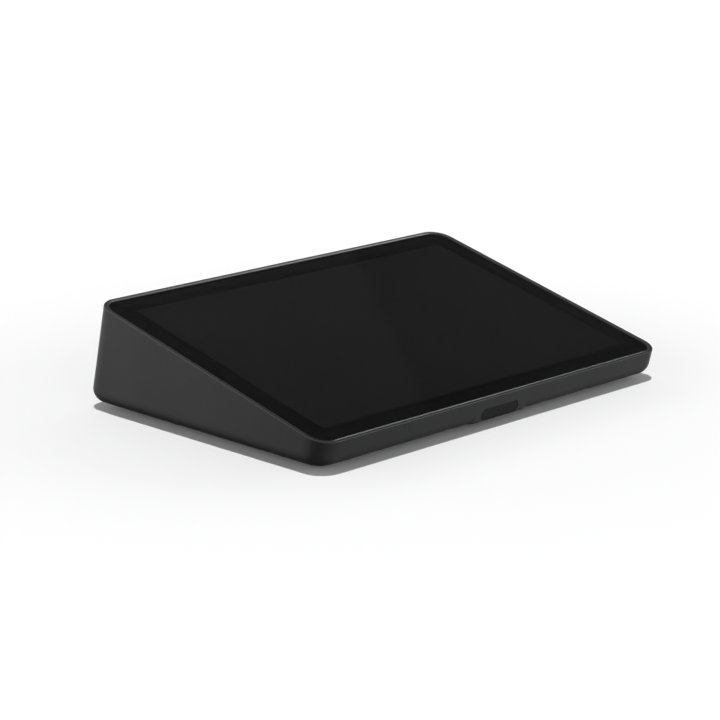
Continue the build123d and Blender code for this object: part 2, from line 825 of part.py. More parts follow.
# ---------------------------------------------------------------- proximity sensor
with BuildPart() as sensor_window:
    with BuildSketch(window_plane.offset(-window_recess)):
        SlotOverall(window_width - 2 * window_gap, window_height - 2 * window_gap)
    extrude(amount=-window_thickness)
    window_front = sensor_window.faces().sort_by(Axis(origin=(0, 0, 0), direction=window_plane.z_dir))[-1]
    chamfer(window_front.edges(), 2 * window_gap)
save(sensor_window.part, "sensor_window")

with BuildPart() as sensor_shroud:
    with BuildSketch(window_plane.offset(-wall)):
        Rectangle(aperture_width + 2 * shroud_rim, sensor_board_height)
        Rectangle(aperture_width, sensor_board_height - 2 * shroud_lip, mode=Mode.SUBTRACT)
    extrude(amount=-shroud_depth)
save(sensor_shroud.part, "sensor_shroud")

with BuildPart() as sensor_board:
    with BuildSketch(window_plane.offset(-wall - shroud_depth)):
        Rectangle(sensor_board_width, sensor_board_height)
    extrude(amount=-sensor_board_thickness)
save(sensor_board.part, "sensor_board")

with BuildPart() as sensor_chip:
    with BuildSketch(window_plane.offset(-wall - shroud_depth)):
        Rectangle(sensor_chip_width, sensor_chip_height)
    extrude(amount=sensor_chip_thickness)
save(sensor_chip.part, "sensor_chip")

# The ribbon runs along the floor and up the main board's front edge
floor_run = floor_top + ribbon_thickness
ribbon_rise_y = board_front_y - ribbon_slack
ribbon_entry = board_top + connector_height / 2
sensor_connector_y = board_front_y + sensor_connector_inset
sensor_back = window_plane.offset(-wall - shroud_depth - sensor_board_thickness).origin
with BuildPart() as sensor_ribbon:
    with BuildSketch(Plane.YZ.offset(-sensor_ribbon_width / 2)):
        with BuildLine():
            FilletPolyline(
                (sensor_back.Y + ribbon_gap, sensor_back.Z),
                (sensor_back.Y + sensor_ribbon_lead, sensor_back.Z),
                (sensor_back.Y + 2 * sensor_ribbon_lead, floor_run),
                (ribbon_rise_y, floor_run),
                (ribbon_rise_y, ribbon_entry),
                (sensor_connector_y - connector_depth / 2, ribbon_entry),
                radius=ribbon_bend,
            )
        trace(line_width=ribbon_thickness)
    extrude(amount=sensor_ribbon_width)
save(sensor_ribbon.part, "sensor_ribbon")

# ---------------------------------------------------------------- main board
with BuildPart() as main_board:
    with BuildSketch(Plane.XY.offset(board_level)):
        with Locations((0, board_y)):
            RectangleRounded(board_width, board_depth, board_round)
        with Locations(*board_screw_points):
            Circle(screw_diameter / 2 + hole_clearance, mode=Mode.SUBTRACT)
    extrude(amount=board_thickness)
    # Memory chips beside the processor and coils along the left edge
    with BuildSketch(Plane.XY.offset(board_top)):
        with Locations((memory_x, board_y - memory_width / 2)):
            with GridLocations(0, memory_pitch, 1, 2):
                Rectangle(memory_width, memory_depth)
        with Locations((-coil_x, board_y)):
            with GridLocations(0, coil_pitch, 1, 3):
                Rectangle(coil_size, coil_size)
    extrude(amount=chip_thickness)
save(main_board.part, "main_board")

board_screw = screw(screw_diameter, board_thickness + screw_bite)
with BuildPart() as board_screws:
    with Locations(Plane.XY.offset(board_top)):
        with Locations(*board_screw_points):
            add(board_screw)
save(board_screws.part, "board_screws")

spreader_level = board_top + shield_height + thermal_pad_thickness
with BuildPart() as processor_shield:
    with BuildSketch(Plane.XY.offset(board_top)):
        with Locations((0, spreader_y)):
            Rectangle(shield_size, shield_size)
    extrude(amount=shield_height)
    chamfer(processor_shield.faces().sort_by(Axis.Z)[-1].edges(), shield_edge)
save(processor_shield.part, "processor_shield")

with BuildPart() as thermal_pad:
    with BuildSketch(Plane.XY.offset(board_top + shield_height)):
        with Locations((0, spreader_y)):
            Rectangle(thermal_pad_size, thermal_pad_size)
    extrude(amount=thermal_pad_thickness)
save(thermal_pad.part, "thermal_pad")

# Plate over the processor, on four legs that stand on the board
with BuildPart() as heat_spreader:
    with BuildSketch(Plane.XY.offset(spreader_level)):
        with Locations((0, spreader_y)):
            RectangleRounded(spreader_width, spreader_depth, spreader_round)
    extrude(amount=spreader_thickness)
    with BuildSketch(Plane.XY.offset(board_top)):
        with Locations((0, spreader_y)):
            with GridLocations(spreader_width - spreader_leg, spreader_depth - spreader_leg, 2, 2):
                Circle(spreader_leg / 2)
    extrude(amount=shield_height + thermal_pad_thickness)
save(heat_spreader.part, "heat_spreader")

# Ribbons from the display's back to the board, each in its own connector
connector_y = board_front_y + connector_inset
ribbon_bend_y = connector_y - connector_depth / 2 - ribbon_slack
ribbon_start_y = connector_y + display_ribbon_run


def display_lead(width, x):
    """Ribbon along the backplate and down into its connector, centred on this x."""
    drop = bead_height + ribbon_gap + ribbon_thickness / 2
    with BuildPart() as lead:
        with BuildSketch(Plane.YZ.offset(x - width / 2)):
            with BuildLine():
                FilletPolyline(
                    (ribbon_start_y, under_display(ribbon_start_y) - drop),
                    (ribbon_bend_y, under_display(ribbon_bend_y) - drop),
                    (ribbon_bend_y, ribbon_entry),
                    (connector_y - connector_depth / 2, ribbon_entry),
                    radius=ribbon_bend,
                )
            trace(line_width=ribbon_thickness)
        extrude(amount=width)
    return lead.part


save(display_lead(display_ribbon_width, display_ribbon_x), "display_ribbon")
save(display_lead(touch_ribbon_width, touch_ribbon_x), "touch_ribbon")

with BuildPart() as ribbon_connectors:
    with BuildSketch(Plane.XY.offset(board_top)):
        with Locations((display_ribbon_x, connector_y)):
            Rectangle(display_ribbon_width + 2 * connector_lap, connector_depth)
        with Locations((touch_ribbon_x, connector_y)):
            Rectangle(touch_ribbon_width + 2 * connector_lap, connector_depth)
        with Locations((0, sensor_connector_y)):
            Rectangle(sensor_ribbon_width + 2 * connector_lap, connector_depth)
    extrude(amount=connector_height)
save(ribbon_connectors.part, "ribbon_connectors")


# ---------------------------------------------------------------- connectors
for name, port in ports.items():
    with BuildPart() as socket:
        with BuildSketch(port_plane(port_mouth_y)):
            with Locations((-port.x, port.height / 2)):
                RectangleRounded(port.width, port.height, port.corner)
        extrude(amount=-port.depth)
        with BuildSketch(port_plane(port_mouth_y)):
            with Locations((-port.x, port.height / 2)):
                RectangleRounded(
                    port.width - 2 * port.shell, port.height - 2 * port.shell, port.corner - port.shell
                )
        extrude(amount=port.shell - port.depth, mode=Mode.SUBTRACT)
        # Tongue, from just inside the mouth into the back of the shell
        with BuildSketch(port_plane(port_mouth_y - port.shell)):
            with Locations((-port.x, port.height / 2)):
                Rectangle(port.tongue_width, port.tongue_height)
        extrude(amount=1.5 * port.shell - port.depth)
    save(socket.part, name)

with BuildPart() as audio_jack:
    with BuildSketch(port_plane(bay_wall_y - port_gap)):
        with Locations((-audio_x, audio_height / 2)):
            Rectangle(audio_width, audio_height)
    extrude(amount=-audio_depth)
    with BuildSketch(port_plane(bay_wall_y - port_gap)):
        with Locations((-audio_x, audio_nose / 2)):
            Circle(audio_nose / 2)
    extrude(amount=bay_wall + port_gap - port_setback)
    with BuildSketch(port_plane(port_mouth_y)):
        with Locations((-audio_x, audio_nose / 2)):
            Circle(audio_bore / 2)
    extrude(amount=-audio_depth, mode=Mode.SUBTRACT)
save(audio_jack.part, "audio_jack")

# ---------------------------------------------------------------- reset button
with BuildPart() as reset_button:
    with BuildSketch(port_plane(bay_wall_y - door_gap)):
        with Locations((-button_x, button_level)):
            Circle(button_diameter / 2)
    extrude(amount=bay_wall + door_gap + button_proud)
    chamfer(reset_button.faces().sort_by(Axis.Y)[-1].edges(), button_edge)
    with BuildSketch(port_plane(bay_wall_y - door_gap)):
        with Locations((-button_x, button_level)):
            Circle(button_diameter / 2 + button_flange)
    extrude(amount=-button_flange)
save(reset_button.part, "reset_button")

switch_front_y = bay_wall_y - door_gap - button_flange - button_travel - door_gap
with BuildPart() as reset_switch:
    with BuildSketch(port_plane(switch_front_y)):
        with Locations((-button_x, switch_size / 2)):
            Rectangle(switch_size, switch_size)
    extrude(amount=-switch_depth)
save(reset_switch.part, "reset_switch")

# ---------------------------------------------------------------- power board
with BuildPart() as power_board:
    with BuildSketch(Plane.XY.offset(power_board_level)):
        with Locations((power_board_x, power_board_y)):
            RectangleRounded(power_board_width, power_board_depth, board_round)
        with Locations(*power_screw_points):
            Circle(screw_diameter / 2 + hole_clearance, mode=Mode.SUBTRACT)
    extrude(amount=board_thickness)
    # Two chokes and a row of capacitors
    with BuildSketch(Plane.XY.offset(power_board_level + board_thickness)):
        with Locations((power_board_x, power_board_y + choke_offset)):
            with GridLocations(choke_pitch, 0, 2, 1):
                Rectangle(choke_size, choke_size)
    extrude(amount=choke_height)
    with BuildSketch(Plane.XY.offset(power_board_level + board_thickness)):
        with Locations((power_board_x, power_board_y + capacitor_offset)):
            with GridLocations(capacitor_pitch, 0, 3, 1):
                Circle(capacitor_radius)
    extrude(amount=capacitor_height)
save(power_board.part, "power_board")

with BuildPart() as power_board_screws:
    with Locations(Plane.XY.offset(power_board_level + board_thickness)):
        with Locations(*power_screw_points):
            add(board_screw)
save(power_board_screws.part, "power_board_screws")

# ---------------------------------------------------------------- speaker
with BuildPart() as speaker_mesh:
    with BuildSketch(Plane.XY.offset(floor_top)):
        with Locations((speaker_x, speaker_y)):
            Circle(mesh_radius)
    extrude(amount=mesh_thickness)
save(speaker_mesh.part, "speaker_mesh")

with BuildPart() as speaker_gasket:
    with BuildSketch(Plane.XY.offset(floor_top + mesh_thickness)):
        with Locations((speaker_x, speaker_y)):
            Rectangle(box_width, box_depth)
            Circle(cone_radius + cone_gap, mode=Mode.SUBTRACT)
    extrude(amount=speaker_gasket_thickness)
    with BuildSketch(Plane.XY.offset(floor_top)):
        with Locations((speaker_x, speaker_y)):
            Rectangle(box_width, box_depth)
            Circle(mesh_radius + mesh_gap, mode=Mode.SUBTRACT)
    extrude(amount=mesh_thickness)
save(speaker_gasket.part, "speaker_gasket")

with BuildPart() as speaker_box:
    with BuildSketch(Plane.XY.offset(speaker_gasket_top)):
        with Locations((speaker_x, speaker_y)):
            RectangleRounded(box_width, box_depth, box_round)
    extrude(amount=box_top - box_wall - speaker_gasket_top)
    with BuildSketch(Plane.XY.offset(baffle_top)):
        with Locations((speaker_x, speaker_y)):
            RectangleRounded(box_width - 2 * box_wall, box_depth - 2 * box_wall, box_round - box_wall)
    extrude(amount=box_top, mode=Mode.SUBTRACT)
    with BuildSketch(Plane.XY.offset(speaker_gasket_top)):
        with Locations((speaker_x, speaker_y)):
            SlotCenterToCenter(box_depth + box_lug, box_lug, rotation=90)
            Rectangle(box_width - 2 * box_wall, box_depth - 2 * box_wall, mode=Mode.SUBTRACT)
    extrude(amount=box_wall)
    with BuildSketch(Plane.XY.offset(speaker_gasket_top)):
        with Locations((speaker_x, speaker_y)):
            Circle(cone_radius + cone_gap)
        with Locations(*speaker_screw_points):
            Circle(screw_diameter / 2 + hole_clearance)
    extrude(amount=box_wall, mode=Mode.SUBTRACT)
save(speaker_box.part, "speaker_box")

with BuildPart() as speaker_lid:
    with BuildSketch(Plane.XY.offset(box_top - box_wall)):
        with Locations((speaker_x, speaker_y)):
            RectangleRounded(box_width, box_depth, box_round)
    extrude(amount=box_wall)
save(speaker_lid.part, "speaker_lid")

speaker_screw = screw(screw_diameter, box_wall + speaker_screw_bite)
with BuildPart() as speaker_screws:
    with Locations(Plane.XY.offset(baffle_top)):
        with Locations(*speaker_screw_points):
            add(speaker_screw)
save(speaker_screws.part, "speaker_screws")

speaker_axis = Axis((speaker_x, speaker_y, 0), (0, 0, 1))
speaker_section = Plane(origin=(speaker_x, speaker_y, 0), x_dir=(1, 0, 0), z_dir=(0, -1, 0))
with BuildPart() as speaker_basket:
    with BuildSketch(speaker_section):
        with BuildLine():
            Polyline(
                (cone_radius + cone_gap, baffle_top),
                (flange_radius, baffle_top),
                (flange_radius, flange_top),
                (magnet_radius, basket_top),
                (coil_radius + coil_gap, basket_top),
                (coil_radius + coil_gap, basket_top - basket_skin),
                (magnet_radius, basket_top - basket_skin),
                (cone_radius + cone_gap, flange_top),
                close=True,
            )
        make_face()
    revolve(axis=speaker_axis)
    with BuildSketch(Plane.XY.offset(flange_top)):
        with Locations((speaker_x, speaker_y)):
            with PolarLocations((magnet_radius + flange_radius) / 2, 4):
                Rectangle(basket_window_width, basket_window_length)
    extrude(amount=basket_height - basket_skin, mode=Mode.SUBTRACT)
save(speaker_basket.part, "speaker_basket")

groove_depth = magnet_height - magnet_yoke
with BuildPart() as speaker_magnet:
    with BuildSketch(speaker_section):
        with BuildLine():
            Polyline(
                (0, basket_top), (coil_radius - coil_wall - coil_gap, basket_top),
                (coil_radius - coil_wall - coil_gap, basket_top + groove_depth),
                (coil_radius + coil_gap, basket_top + groove_depth),
                (coil_radius + coil_gap, basket_top),
                (magnet_radius, basket_top), (magnet_radius, basket_top + magnet_height),
                (0, basket_top + magnet_height), close=True,
            )
        make_face()
    revolve(axis=speaker_axis)
save(speaker_magnet.part, "speaker_magnet")

# Surround, paper cone, dust cap and voice coil former in one moving piece
surround_inner = cone_radius - surround_width
cone_edge_z = baffle_top + cone_skin
cone_neck_z = basket_top - basket_skin - 2 * cone_travel
with BuildPart() as speaker_cone:
    with BuildSketch(speaker_section):
        with BuildLine():
            Polyline(
                (cone_radius, cone_edge_z),
                (cone_radius, baffle_top),
                (surround_inner, baffle_top),
                (coil_radius, cone_neck_z - cone_skin),
                (0, cone_neck_z - cone_skin),
                (0, cone_neck_z),
                (coil_radius - coil_wall, cone_neck_z),
                (coil_radius - coil_wall, basket_top + coil_engagement),
                (coil_radius, basket_top + coil_engagement),
                (coil_radius, cone_neck_z),
                (surround_inner, cone_edge_z),
                close=True,
            )
        make_face()
    revolve(axis=speaker_axis)
save(speaker_cone.part, "speaker_cone")

# ---------------------------------------------------------------- weights
for side, name in ((-1, "base_weight_left"), (1, "base_weight_right")):
    with BuildPart() as base_weight:
        with BuildSketch(Plane.XY.offset(floor_top)):
            with Locations((side * weight_x, weight_y)):
                RectangleRounded(weight_length, weight_width, weight_round)
            with Locations(*weight_screw_points):
                Circle(standoff_diameter / 2 + hole_clearance, mode=Mode.SUBTRACT)
        extrude(amount=weight_thickness)
    save(base_weight.part, name)

with BuildPart() as weight_screws:
    with Locations(Plane.XY.offset(floor_top + weight_thickness)):
        with Locations(*weight_screw_points):
            add(screw(screw_diameter, screw_bite))
save(weight_screws.part, "weight_screws")

# ---------------------------------------------------------------- underside
with BuildPart() as mounting_inserts:
    with BuildSketch(Plane.XY.offset(ground_gap)):
        with Locations(*mount_points):
            Circle(insert_diameter / 2)
            Circle(insert_bore / 2, mode=Mode.SUBTRACT)
    extrude(amount=insert_length)
save(mounting_inserts.part, "mounting_inserts")

for name, place in foot_points.items():
    with BuildPart() as foot:
        with BuildSketch(Plane.XY):
            with Locations(place):
                SlotOverall(foot_length, foot_width)
        extrude(amount=ground_gap + foot_seat)
        chamfer(foot.faces().sort_by(Axis.Z)[0].edges(), foot_edge_round)
    save(foot.part, name)

# Door: a plate with a full hinge barrel, two pins, two stiffening ribs and a finger scoop
door_width = bay_width - 2 * door_gap
door_back_y = bay_back_y - door_gap
with BuildPart() as bay_door:
    with BuildSketch(Plane.XY.offset(ground_gap)):
        with Locations((0, (hinge_y + door_back_y) / 2)):
            Rectangle(door_width, door_back_y - hinge_y)
    extrude(amount=door_thickness)
    with BuildSketch(Plane.YZ):
        with Locations((hinge_y, hinge_z)):
            Circle(hinge_barrel_radius)
    extrude(amount=door_width / 2, both=True)
    with BuildSketch(Plane.YZ):
        with Locations((hinge_y, hinge_z)):
            Circle(hinge_pin_diameter / 2)
    extrude(amount=door_width / 2 + hinge_pin_length - hinge_clearance, both=True)
    with BuildSketch(Plane.XY.offset(door_top)):
        with Locations((0, bay_middle_y)):
            with GridLocations(door_rib_pitch, 0, 2, 1):
                Rectangle(door_rib_thickness, bay_length * door_rib_share)
    extrude(amount=door_rib_height)
    with BuildSketch(Plane.XY.offset(ground_gap)):
        with Locations((0, door_back_y)):
            Circle(finger_radius)
    extrude(amount=door_thickness / 2, mode=Mode.SUBTRACT)
    with BuildSketch(Plane.XY.offset(door_top - door_magnet_thickness)):
        with Locations(*magnet_points):
            Circle(magnet_diameter / 2)
    extrude(amount=door_magnet_thickness, mode=Mode.SUBTRACT)
save(bay_door.part, "bay_door")

for name, level, thickness in (
    ("door_magnets", door_top - door_magnet_thickness, door_magnet_thickness),
    ("catch_magnets", ledge_bottom, catch_magnet_thickness),
):
    with BuildPart() as magnets:
        with BuildSketch(Plane.XY.offset(level)):
            with Locations(*magnet_points):
                Circle(magnet_diameter / 2)
        extrude(amount=thickness)
    save(magnets.part, name)

# Clamp bar across the cables, grooved for three of them
with BuildPart() as cable_clamp:
    with BuildSketch(Plane.XY.offset(clamp_level)):
        with Locations((0, clamp_y)):
            RectangleRounded(clamp_length, clamp_width, clamp_round)
        with Locations(*clamp_points):
            Circle(screw_diameter / 2 + hole_clearance, mode=Mode.SUBTRACT)
    extrude(amount=clamp_thickness)
    with BuildSketch(Plane.XZ.offset(-clamp_y - clamp_width)):
        with Locations((0, clamp_level)):
            with GridLocations(clamp_groove_pitch, 0, 3, 1):
                Circle(clamp_groove / 2)
    extrude(amount=2 * clamp_width, mode=Mode.SUBTRACT)
save(cable_clamp.part, "cable_clamp")

clamp_screw = screw(screw_diameter, clamp_thickness + screw_bite)
with BuildPart() as clamp_screws:
    with Locations(Plane.XY.offset(clamp_level).rotated((180, 0, 0))):
        with Locations(*[(x, -y) for x, y in clamp_points]):
            add(clamp_screw)
save(clamp_screws.part, "clamp_screws")

# ---------------------------------------------------------------- back wall
with BuildPart() as lock_plate:
    with BuildSketch(rear_plane.offset(wall)):
        with Locations((lock_x, -lock_drop)):
            RectangleRounded(lock_slot_length * 2, lock_slot_width * 3, lock_plate_round)
            SlotOverall(lock_slot_length, lock_slot_width, mode=Mode.SUBTRACT)
    extrude(amount=lock_plate_thickness)
save(lock_plate.part, "lock_plate")

antenna_x = frame_width * frame_screw_share / 2 + boss_diameter / 2 + antenna_gap + antenna_length / 2
for side, name in ((-1, "antenna_left"), (1, "antenna_right")):
    with BuildPart() as antenna:
        with BuildSketch(rear_plane.offset(wall)):
            with Locations((side * antenna_x, -antenna_drop)):
                Rectangle(antenna_length, antenna_width)
        extrude(amount=antenna_thickness)
    save(antenna.part, name)
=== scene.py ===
import json
import logging
import math
from collections.abc import Callable, Iterable, Sequence
from dataclasses import dataclass, field
from enum import Enum

import bmesh
import bpy
from mathutils import Matrix, Vector


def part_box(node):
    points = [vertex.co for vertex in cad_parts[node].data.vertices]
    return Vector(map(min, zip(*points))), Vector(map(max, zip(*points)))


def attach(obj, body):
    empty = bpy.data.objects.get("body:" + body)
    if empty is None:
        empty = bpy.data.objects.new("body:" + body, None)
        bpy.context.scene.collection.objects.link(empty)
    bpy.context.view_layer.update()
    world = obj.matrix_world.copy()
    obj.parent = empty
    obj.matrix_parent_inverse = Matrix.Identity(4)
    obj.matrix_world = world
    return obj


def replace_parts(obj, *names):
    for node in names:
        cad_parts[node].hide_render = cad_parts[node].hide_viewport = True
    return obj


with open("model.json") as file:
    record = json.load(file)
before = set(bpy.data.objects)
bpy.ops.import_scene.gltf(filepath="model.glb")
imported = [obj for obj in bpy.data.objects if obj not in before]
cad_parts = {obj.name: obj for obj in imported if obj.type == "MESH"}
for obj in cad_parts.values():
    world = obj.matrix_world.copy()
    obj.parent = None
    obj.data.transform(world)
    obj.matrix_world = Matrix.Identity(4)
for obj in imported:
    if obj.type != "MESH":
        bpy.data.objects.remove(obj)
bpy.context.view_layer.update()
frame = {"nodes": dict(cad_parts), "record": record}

LOG = logging.getLogger("touch_console")

Socket = bpy.types.NodeSocket
Colour = tuple[float, float, float]
Way = tuple[float, float, float]
Span = tuple[float, float]
Ring = list[Vector]
Radius = Callable[[float], float] | float

MM = 0.001
UP = (0.0, 0.0, 1.0)
TILT = math.radians(14)
SCREEN_WAY = (0.0, -math.sin(TILT), math.cos(TILT))
CREASE_ANGLE = math.radians(32)
SLOTS = {part["node"]: part["material_slot"] for part in frame["record"]["subparts"]}

# The part of a noise's range that a finish reads, from its widest use to its crispest.
NOISE_SPAN: Span = (0.3, 0.7)
CLOUD_SPAN: Span = (0.35, 0.65)
MOTTLE_SPAN: Span = (0.4, 0.6)

# The lobed recess, as shares of the radius of the plain one.
LOBE_MIDDLE = 1.12
LOBE_RISE = 0.12


class Grain(Enum):
    """How a moulded or cast surface is textured: size and depth of its grain, in metres."""

    FINE = (0.00035, 0.000012)
    MEDIUM = (0.0006, 0.00002)
    COARSE = (0.0011, 0.00005)

    @property
    def size(self) -> float:
        """Distance between two grains."""
        return self.value[0]

    @property
    def depth(self) -> float:
        """Height of a grain."""
        return self.value[1]


class Drive(Enum):
    """The recess in a screw's head."""

    HEXAGON = "hexagon"
    SIX_LOBE = "six_lobe"

    def radius(self, angle: float, size: float) -> float:
        """Distance from the screw's axis to the recess wall.

        Args:
            angle: Where on the wall, in radians.
            size: The recess's inner radius, in metres.

        Returns:
            The distance, in metres.
        """
        if self is Drive.HEXAGON:
            turn = angle % (math.tau / 6) - math.tau / 12
            return size / math.cos(turn)
        return size * (LOBE_MIDDLE + LOBE_RISE * math.cos(6 * angle))


# ---------------------------------------------------------------- shader graphs
class NodeGraph:
    """A node tree, with short calls for the nodes that the finishes share."""

    def __init__(self, tree: bpy.types.NodeTree) -> None:
        """Starts over in a tree, which is emptied."""
        self.tree = tree
        self.tree.nodes.clear()

    def feed(self, target: Socket, value: object) -> None:
        """Links an input to a socket, or sets it to a number, a way or a colour.

        Args:
            target: The input.
            value: The socket, or the constant value.
        """
        if isinstance(value, Socket):
            self.tree.links.new(value, target)
        elif target.type == "RGBA":
            target.default_value = (*value, 1.0)
        else:
            target.default_value = value

    def node(
        self, kind: str, values: dict[str | int, object] | None = None, **settings: object
    ) -> bpy.types.Node:
        """Adds a node.

        Args:
            kind: The node's type name.
            values: Sockets or constant values for its inputs, by name or number.
            **settings: Values for the node's own properties.

        Returns:
            The new node.
        """
        made = self.tree.nodes.new(kind)
        for key, value in settings.items():
            setattr(made, key, value)
        for key, value in (values or {}).items():
            self.feed(made.inputs[key], value)
        return made

    def sum(self, kind: str, *values: Socket | float) -> Socket:
        """Does one sum, such as MULTIPLY, on one or two values."""
        return self.node("ShaderNodeMath", dict(enumerate(values)), operation=kind).outputs["Value"]

    def ramp(
        self, value: Socket, low: float, high: float, to_low: float = 0.0, to_high: float = 1.0
    ) -> Socket:
        """Maps a value from one range to another, clamped."""
        ends = {"From Min": low, "From Max": high, "To Min": to_low, "To Max": to_high}
        return self.node("ShaderNodeMapRange", {**ends, "Value": value}).outputs["Result"]

    def blend(self, amount: Socket, first: Colour | Socket, second: Colour | Socket) -> Socket:
        """Mixes two colours by a value.

        Args:
            amount: 0 for the first colour, 1 for the second.
            first: A colour.
            second: Another colour.

        Returns:
            The mixed colour's socket.
        """
        values = {"A": first, "B": second, "Factor": amount}
        made = self.node("ShaderNodeMix", values, data_type="RGBA", clamp_factor=False)
        return made.outputs["Result"]

    def mix_shaders(self, amount: Socket, first: bpy.types.Node, second: bpy.types.Node) -> bpy.types.Node:
        """Mixes two shaders by a value: 0 for the first, 1 for the second."""
        return self.node("ShaderNodeMixShader", {0: amount, 1: first.outputs[0], 2: second.outputs[0]})

    def parts(self, vector: Socket) -> dict[str, Socket]:
        """Splits a vector into its X, Y and Z sockets."""
        made = self.node("ShaderNodeSeparateXYZ", {"Vector": vector})
        return {axis: made.outputs[axis] for axis in "XYZ"}

    def in_view(self) -> Socket:
        """Tells what is seen from what gives light.

        Returns:
            1 where the camera looks, straight, in a mirror or through glass, and otherwise 0.
        """
        path = self.node("ShaderNodeLightPath").outputs
        bent = self.sum("MAXIMUM", path["Is Glossy Ray"], path["Is Transmission Ray"])
        return self.sum("MAXIMUM", path["Is Camera Ray"], bent)


class ShaderGraph(NodeGraph):
    """A material's node tree, which starts with its surface shader."""

    def __init__(self, name: str) -> None:
        """Starts a material.

        Args:
            name: The material's name.
        """
        self.material = bpy.data.materials.new(name)
        self.material.use_nodes = True
        super().__init__(self.material.node_tree)
        self.output = self.node("ShaderNodeOutputMaterial")
        self.surface = self.node("ShaderNodeBsdfPrincipled")
        self.show(self.surface)
        coordinates = self.node("ShaderNodeTexCoord").outputs
        self.place = coordinates["Object"]
        self.normal = coordinates["Normal"]

    def show(self, shader: bpy.types.Node) -> None:
        """Makes a shader the one that is seen."""
        self.feed(self.output.inputs["Surface"], shader.outputs[0])

    def set(self, **values: object) -> None:
        """Feeds the surface shader, by input name with _ for a space."""
        for key, value in values.items():
            self.feed(self.surface.inputs[key.replace("_", " ")], value)

    def paint(self, amount: Socket, first: Colour, second: Colour) -> None:
        """Colours the surface by a value: 0 for the first colour, 1 for the second."""
        self.set(Base_Color=self.blend(amount, first, second))

    def roughen(self, value: Socket, low: float, high: float) -> None:
        """Makes the surface smoother and rougher by a noise, between two values."""
        self.set(Roughness=self.ramp(value, *NOISE_SPAN, low, high))

    def noise(self, size: float, detail: float = 2.0, place: Socket | None = None) -> Socket:
        """Noise from 0 to 1 over the piece, by the distance between two of its bumps in metres."""
        values = {"Scale": 1.0 / size, "Detail": detail, "Vector": self.place if place is None else place}
        return self.node("ShaderNodeTexNoise", values).outputs["Fac"]

    def wave(self, axis: str, length: float) -> Socket:
        """A wave from -1 to 1 along one of the piece's axes, by its length in metres."""
        along = self.parts(self.place)[axis]
        return self.sum("SINE", self.sum("MULTIPLY", along, math.tau / length))

    def slope(self, x_share: float, y_share: float, start: float) -> Socket:
        """Adds shares of the piece's X and Y to a start.

        Args:
            x_share: What X is multiplied by.
            y_share: What Y is multiplied by.
            start: The value at the piece's origin.

        Returns:
            The total's socket.
        """
        place = self.parts(self.place)
        rise = [self.sum("MULTIPLY", place[axis], share) for axis, share in (("X", x_share), ("Y", y_share))]
        return self.sum("ADD", self.sum("ADD", *rise), start)

    def reach(self, half_x: float, half_y: float) -> Socket:
        """Measures how far off its middle a place in the piece's XY plane lies.

        Args:
            half_x: The distance along X that counts as 1, in metres.
            half_y: The distance along Y that counts as 1, in metres.

        Returns:
            The distance's socket.
        """
        place = self.parts(self.place)
        off = [self.sum("DIVIDE", place[axis], half) for axis, half in (("X", half_x), ("Y", half_y))]
        return self.sum("SQRT", self.sum("ADD", *(self.sum("MULTIPLY", value, value) for value in off)))

    def facing(self, way: Way) -> Socket:
        """How squarely the surface faces a way of the piece's own axes, from -1 to 1."""
        made = self.node("ShaderNodeVectorMath", {0: self.normal, 1: way}, operation="DOT_PRODUCT")
        return made.outputs["Value"]

    def relief(self, height: Socket, depth: float) -> None:
        """Turns a height from 0 to 1 into the surface's relief, by its depth in metres."""
        made = self.node("ShaderNodeBump", {"Distance": depth, "Strength": 1.0, "Height": height})
        self.set(Normal=made.outputs["Normal"])


def grey(level: float) -> Colour:
    """A grey of this level."""
    return (level, level, level)


def shades(colour: Colour, first: float, second: float) -> tuple[Colour, Colour]:
    """Two shades of a colour, by their factors."""
    return tuple(tuple(min(1.0, channel * factor) for channel in colour) for factor in (first, second))


# ---------------------------------------------------------------- finishes
@dataclass(frozen=True)
class MouldedPlastic:
    """Moulded plastic with a spark-eroded grain and faint handling marks."""

    name: str
    colour: Colour
    roughness: float = 0.5
    gloss: float = 0.5
    grain: Grain = Grain.FINE
    cloud: float = 40 * MM
    cloud_shade: float = 0.04
    mark: float = 9 * MM
    mark_layers: float = 3.0
    mark_roughness: float = 0.03

    def paint(self, graph: ShaderGraph) -> None:
        """Gives the surface its colour, with faint clouds."""
        cloud = graph.ramp(graph.noise(self.cloud), *CLOUD_SPAN)
        graph.paint(cloud, *shades(self.colour, 1 - self.cloud_shade, 1 + self.cloud_shade))

    def material(self) -> bpy.types.Material:
        """Makes the material.

        Returns:
            The material, new each time.
        """
        graph = ShaderGraph(self.name)
        graph.set(Specular_IOR_Level=self.gloss)
        self.paint(graph)
        marks = graph.noise(self.mark, self.mark_layers)
        graph.roughen(marks, self.roughness - self.mark_roughness, self.roughness + self.mark_roughness)
        graph.relief(graph.noise(self.grain.size), self.grain.depth)
        return graph.material


@dataclass(frozen=True)
class HousingPlastic(MouldedPlastic):
    """Moulded plastic with painted shade: the faces square to one way, as on the flat of the rim, are
    painted darker.
    """

    rim_painted_shade_way: Way = SCREEN_WAY
    rim_painted_shade_span: Span = (0.985, 0.997)
    rim_painted_shade: float = 0.5

    def paint(self, graph: ShaderGraph) -> None:
        """Gives the surface its colour, with faint clouds and painted shade on the flat of the rim.

        Args:
            graph: The material's nodes.
        """
        cloud = graph.ramp(graph.noise(self.cloud), *CLOUD_SPAN, 1 - self.cloud_shade, 1 + self.cloud_shade)
        # Painted shade: faces square to the screen are painted darker, which darkens the flat of the rim.
        rim = graph.ramp(graph.facing(self.rim_painted_shade_way), *self.rim_painted_shade_span, 1.0, self.rim_painted_shade)
        graph.paint(graph.sum("MULTIPLY", cloud, rim), grey(0.0), self.colour)


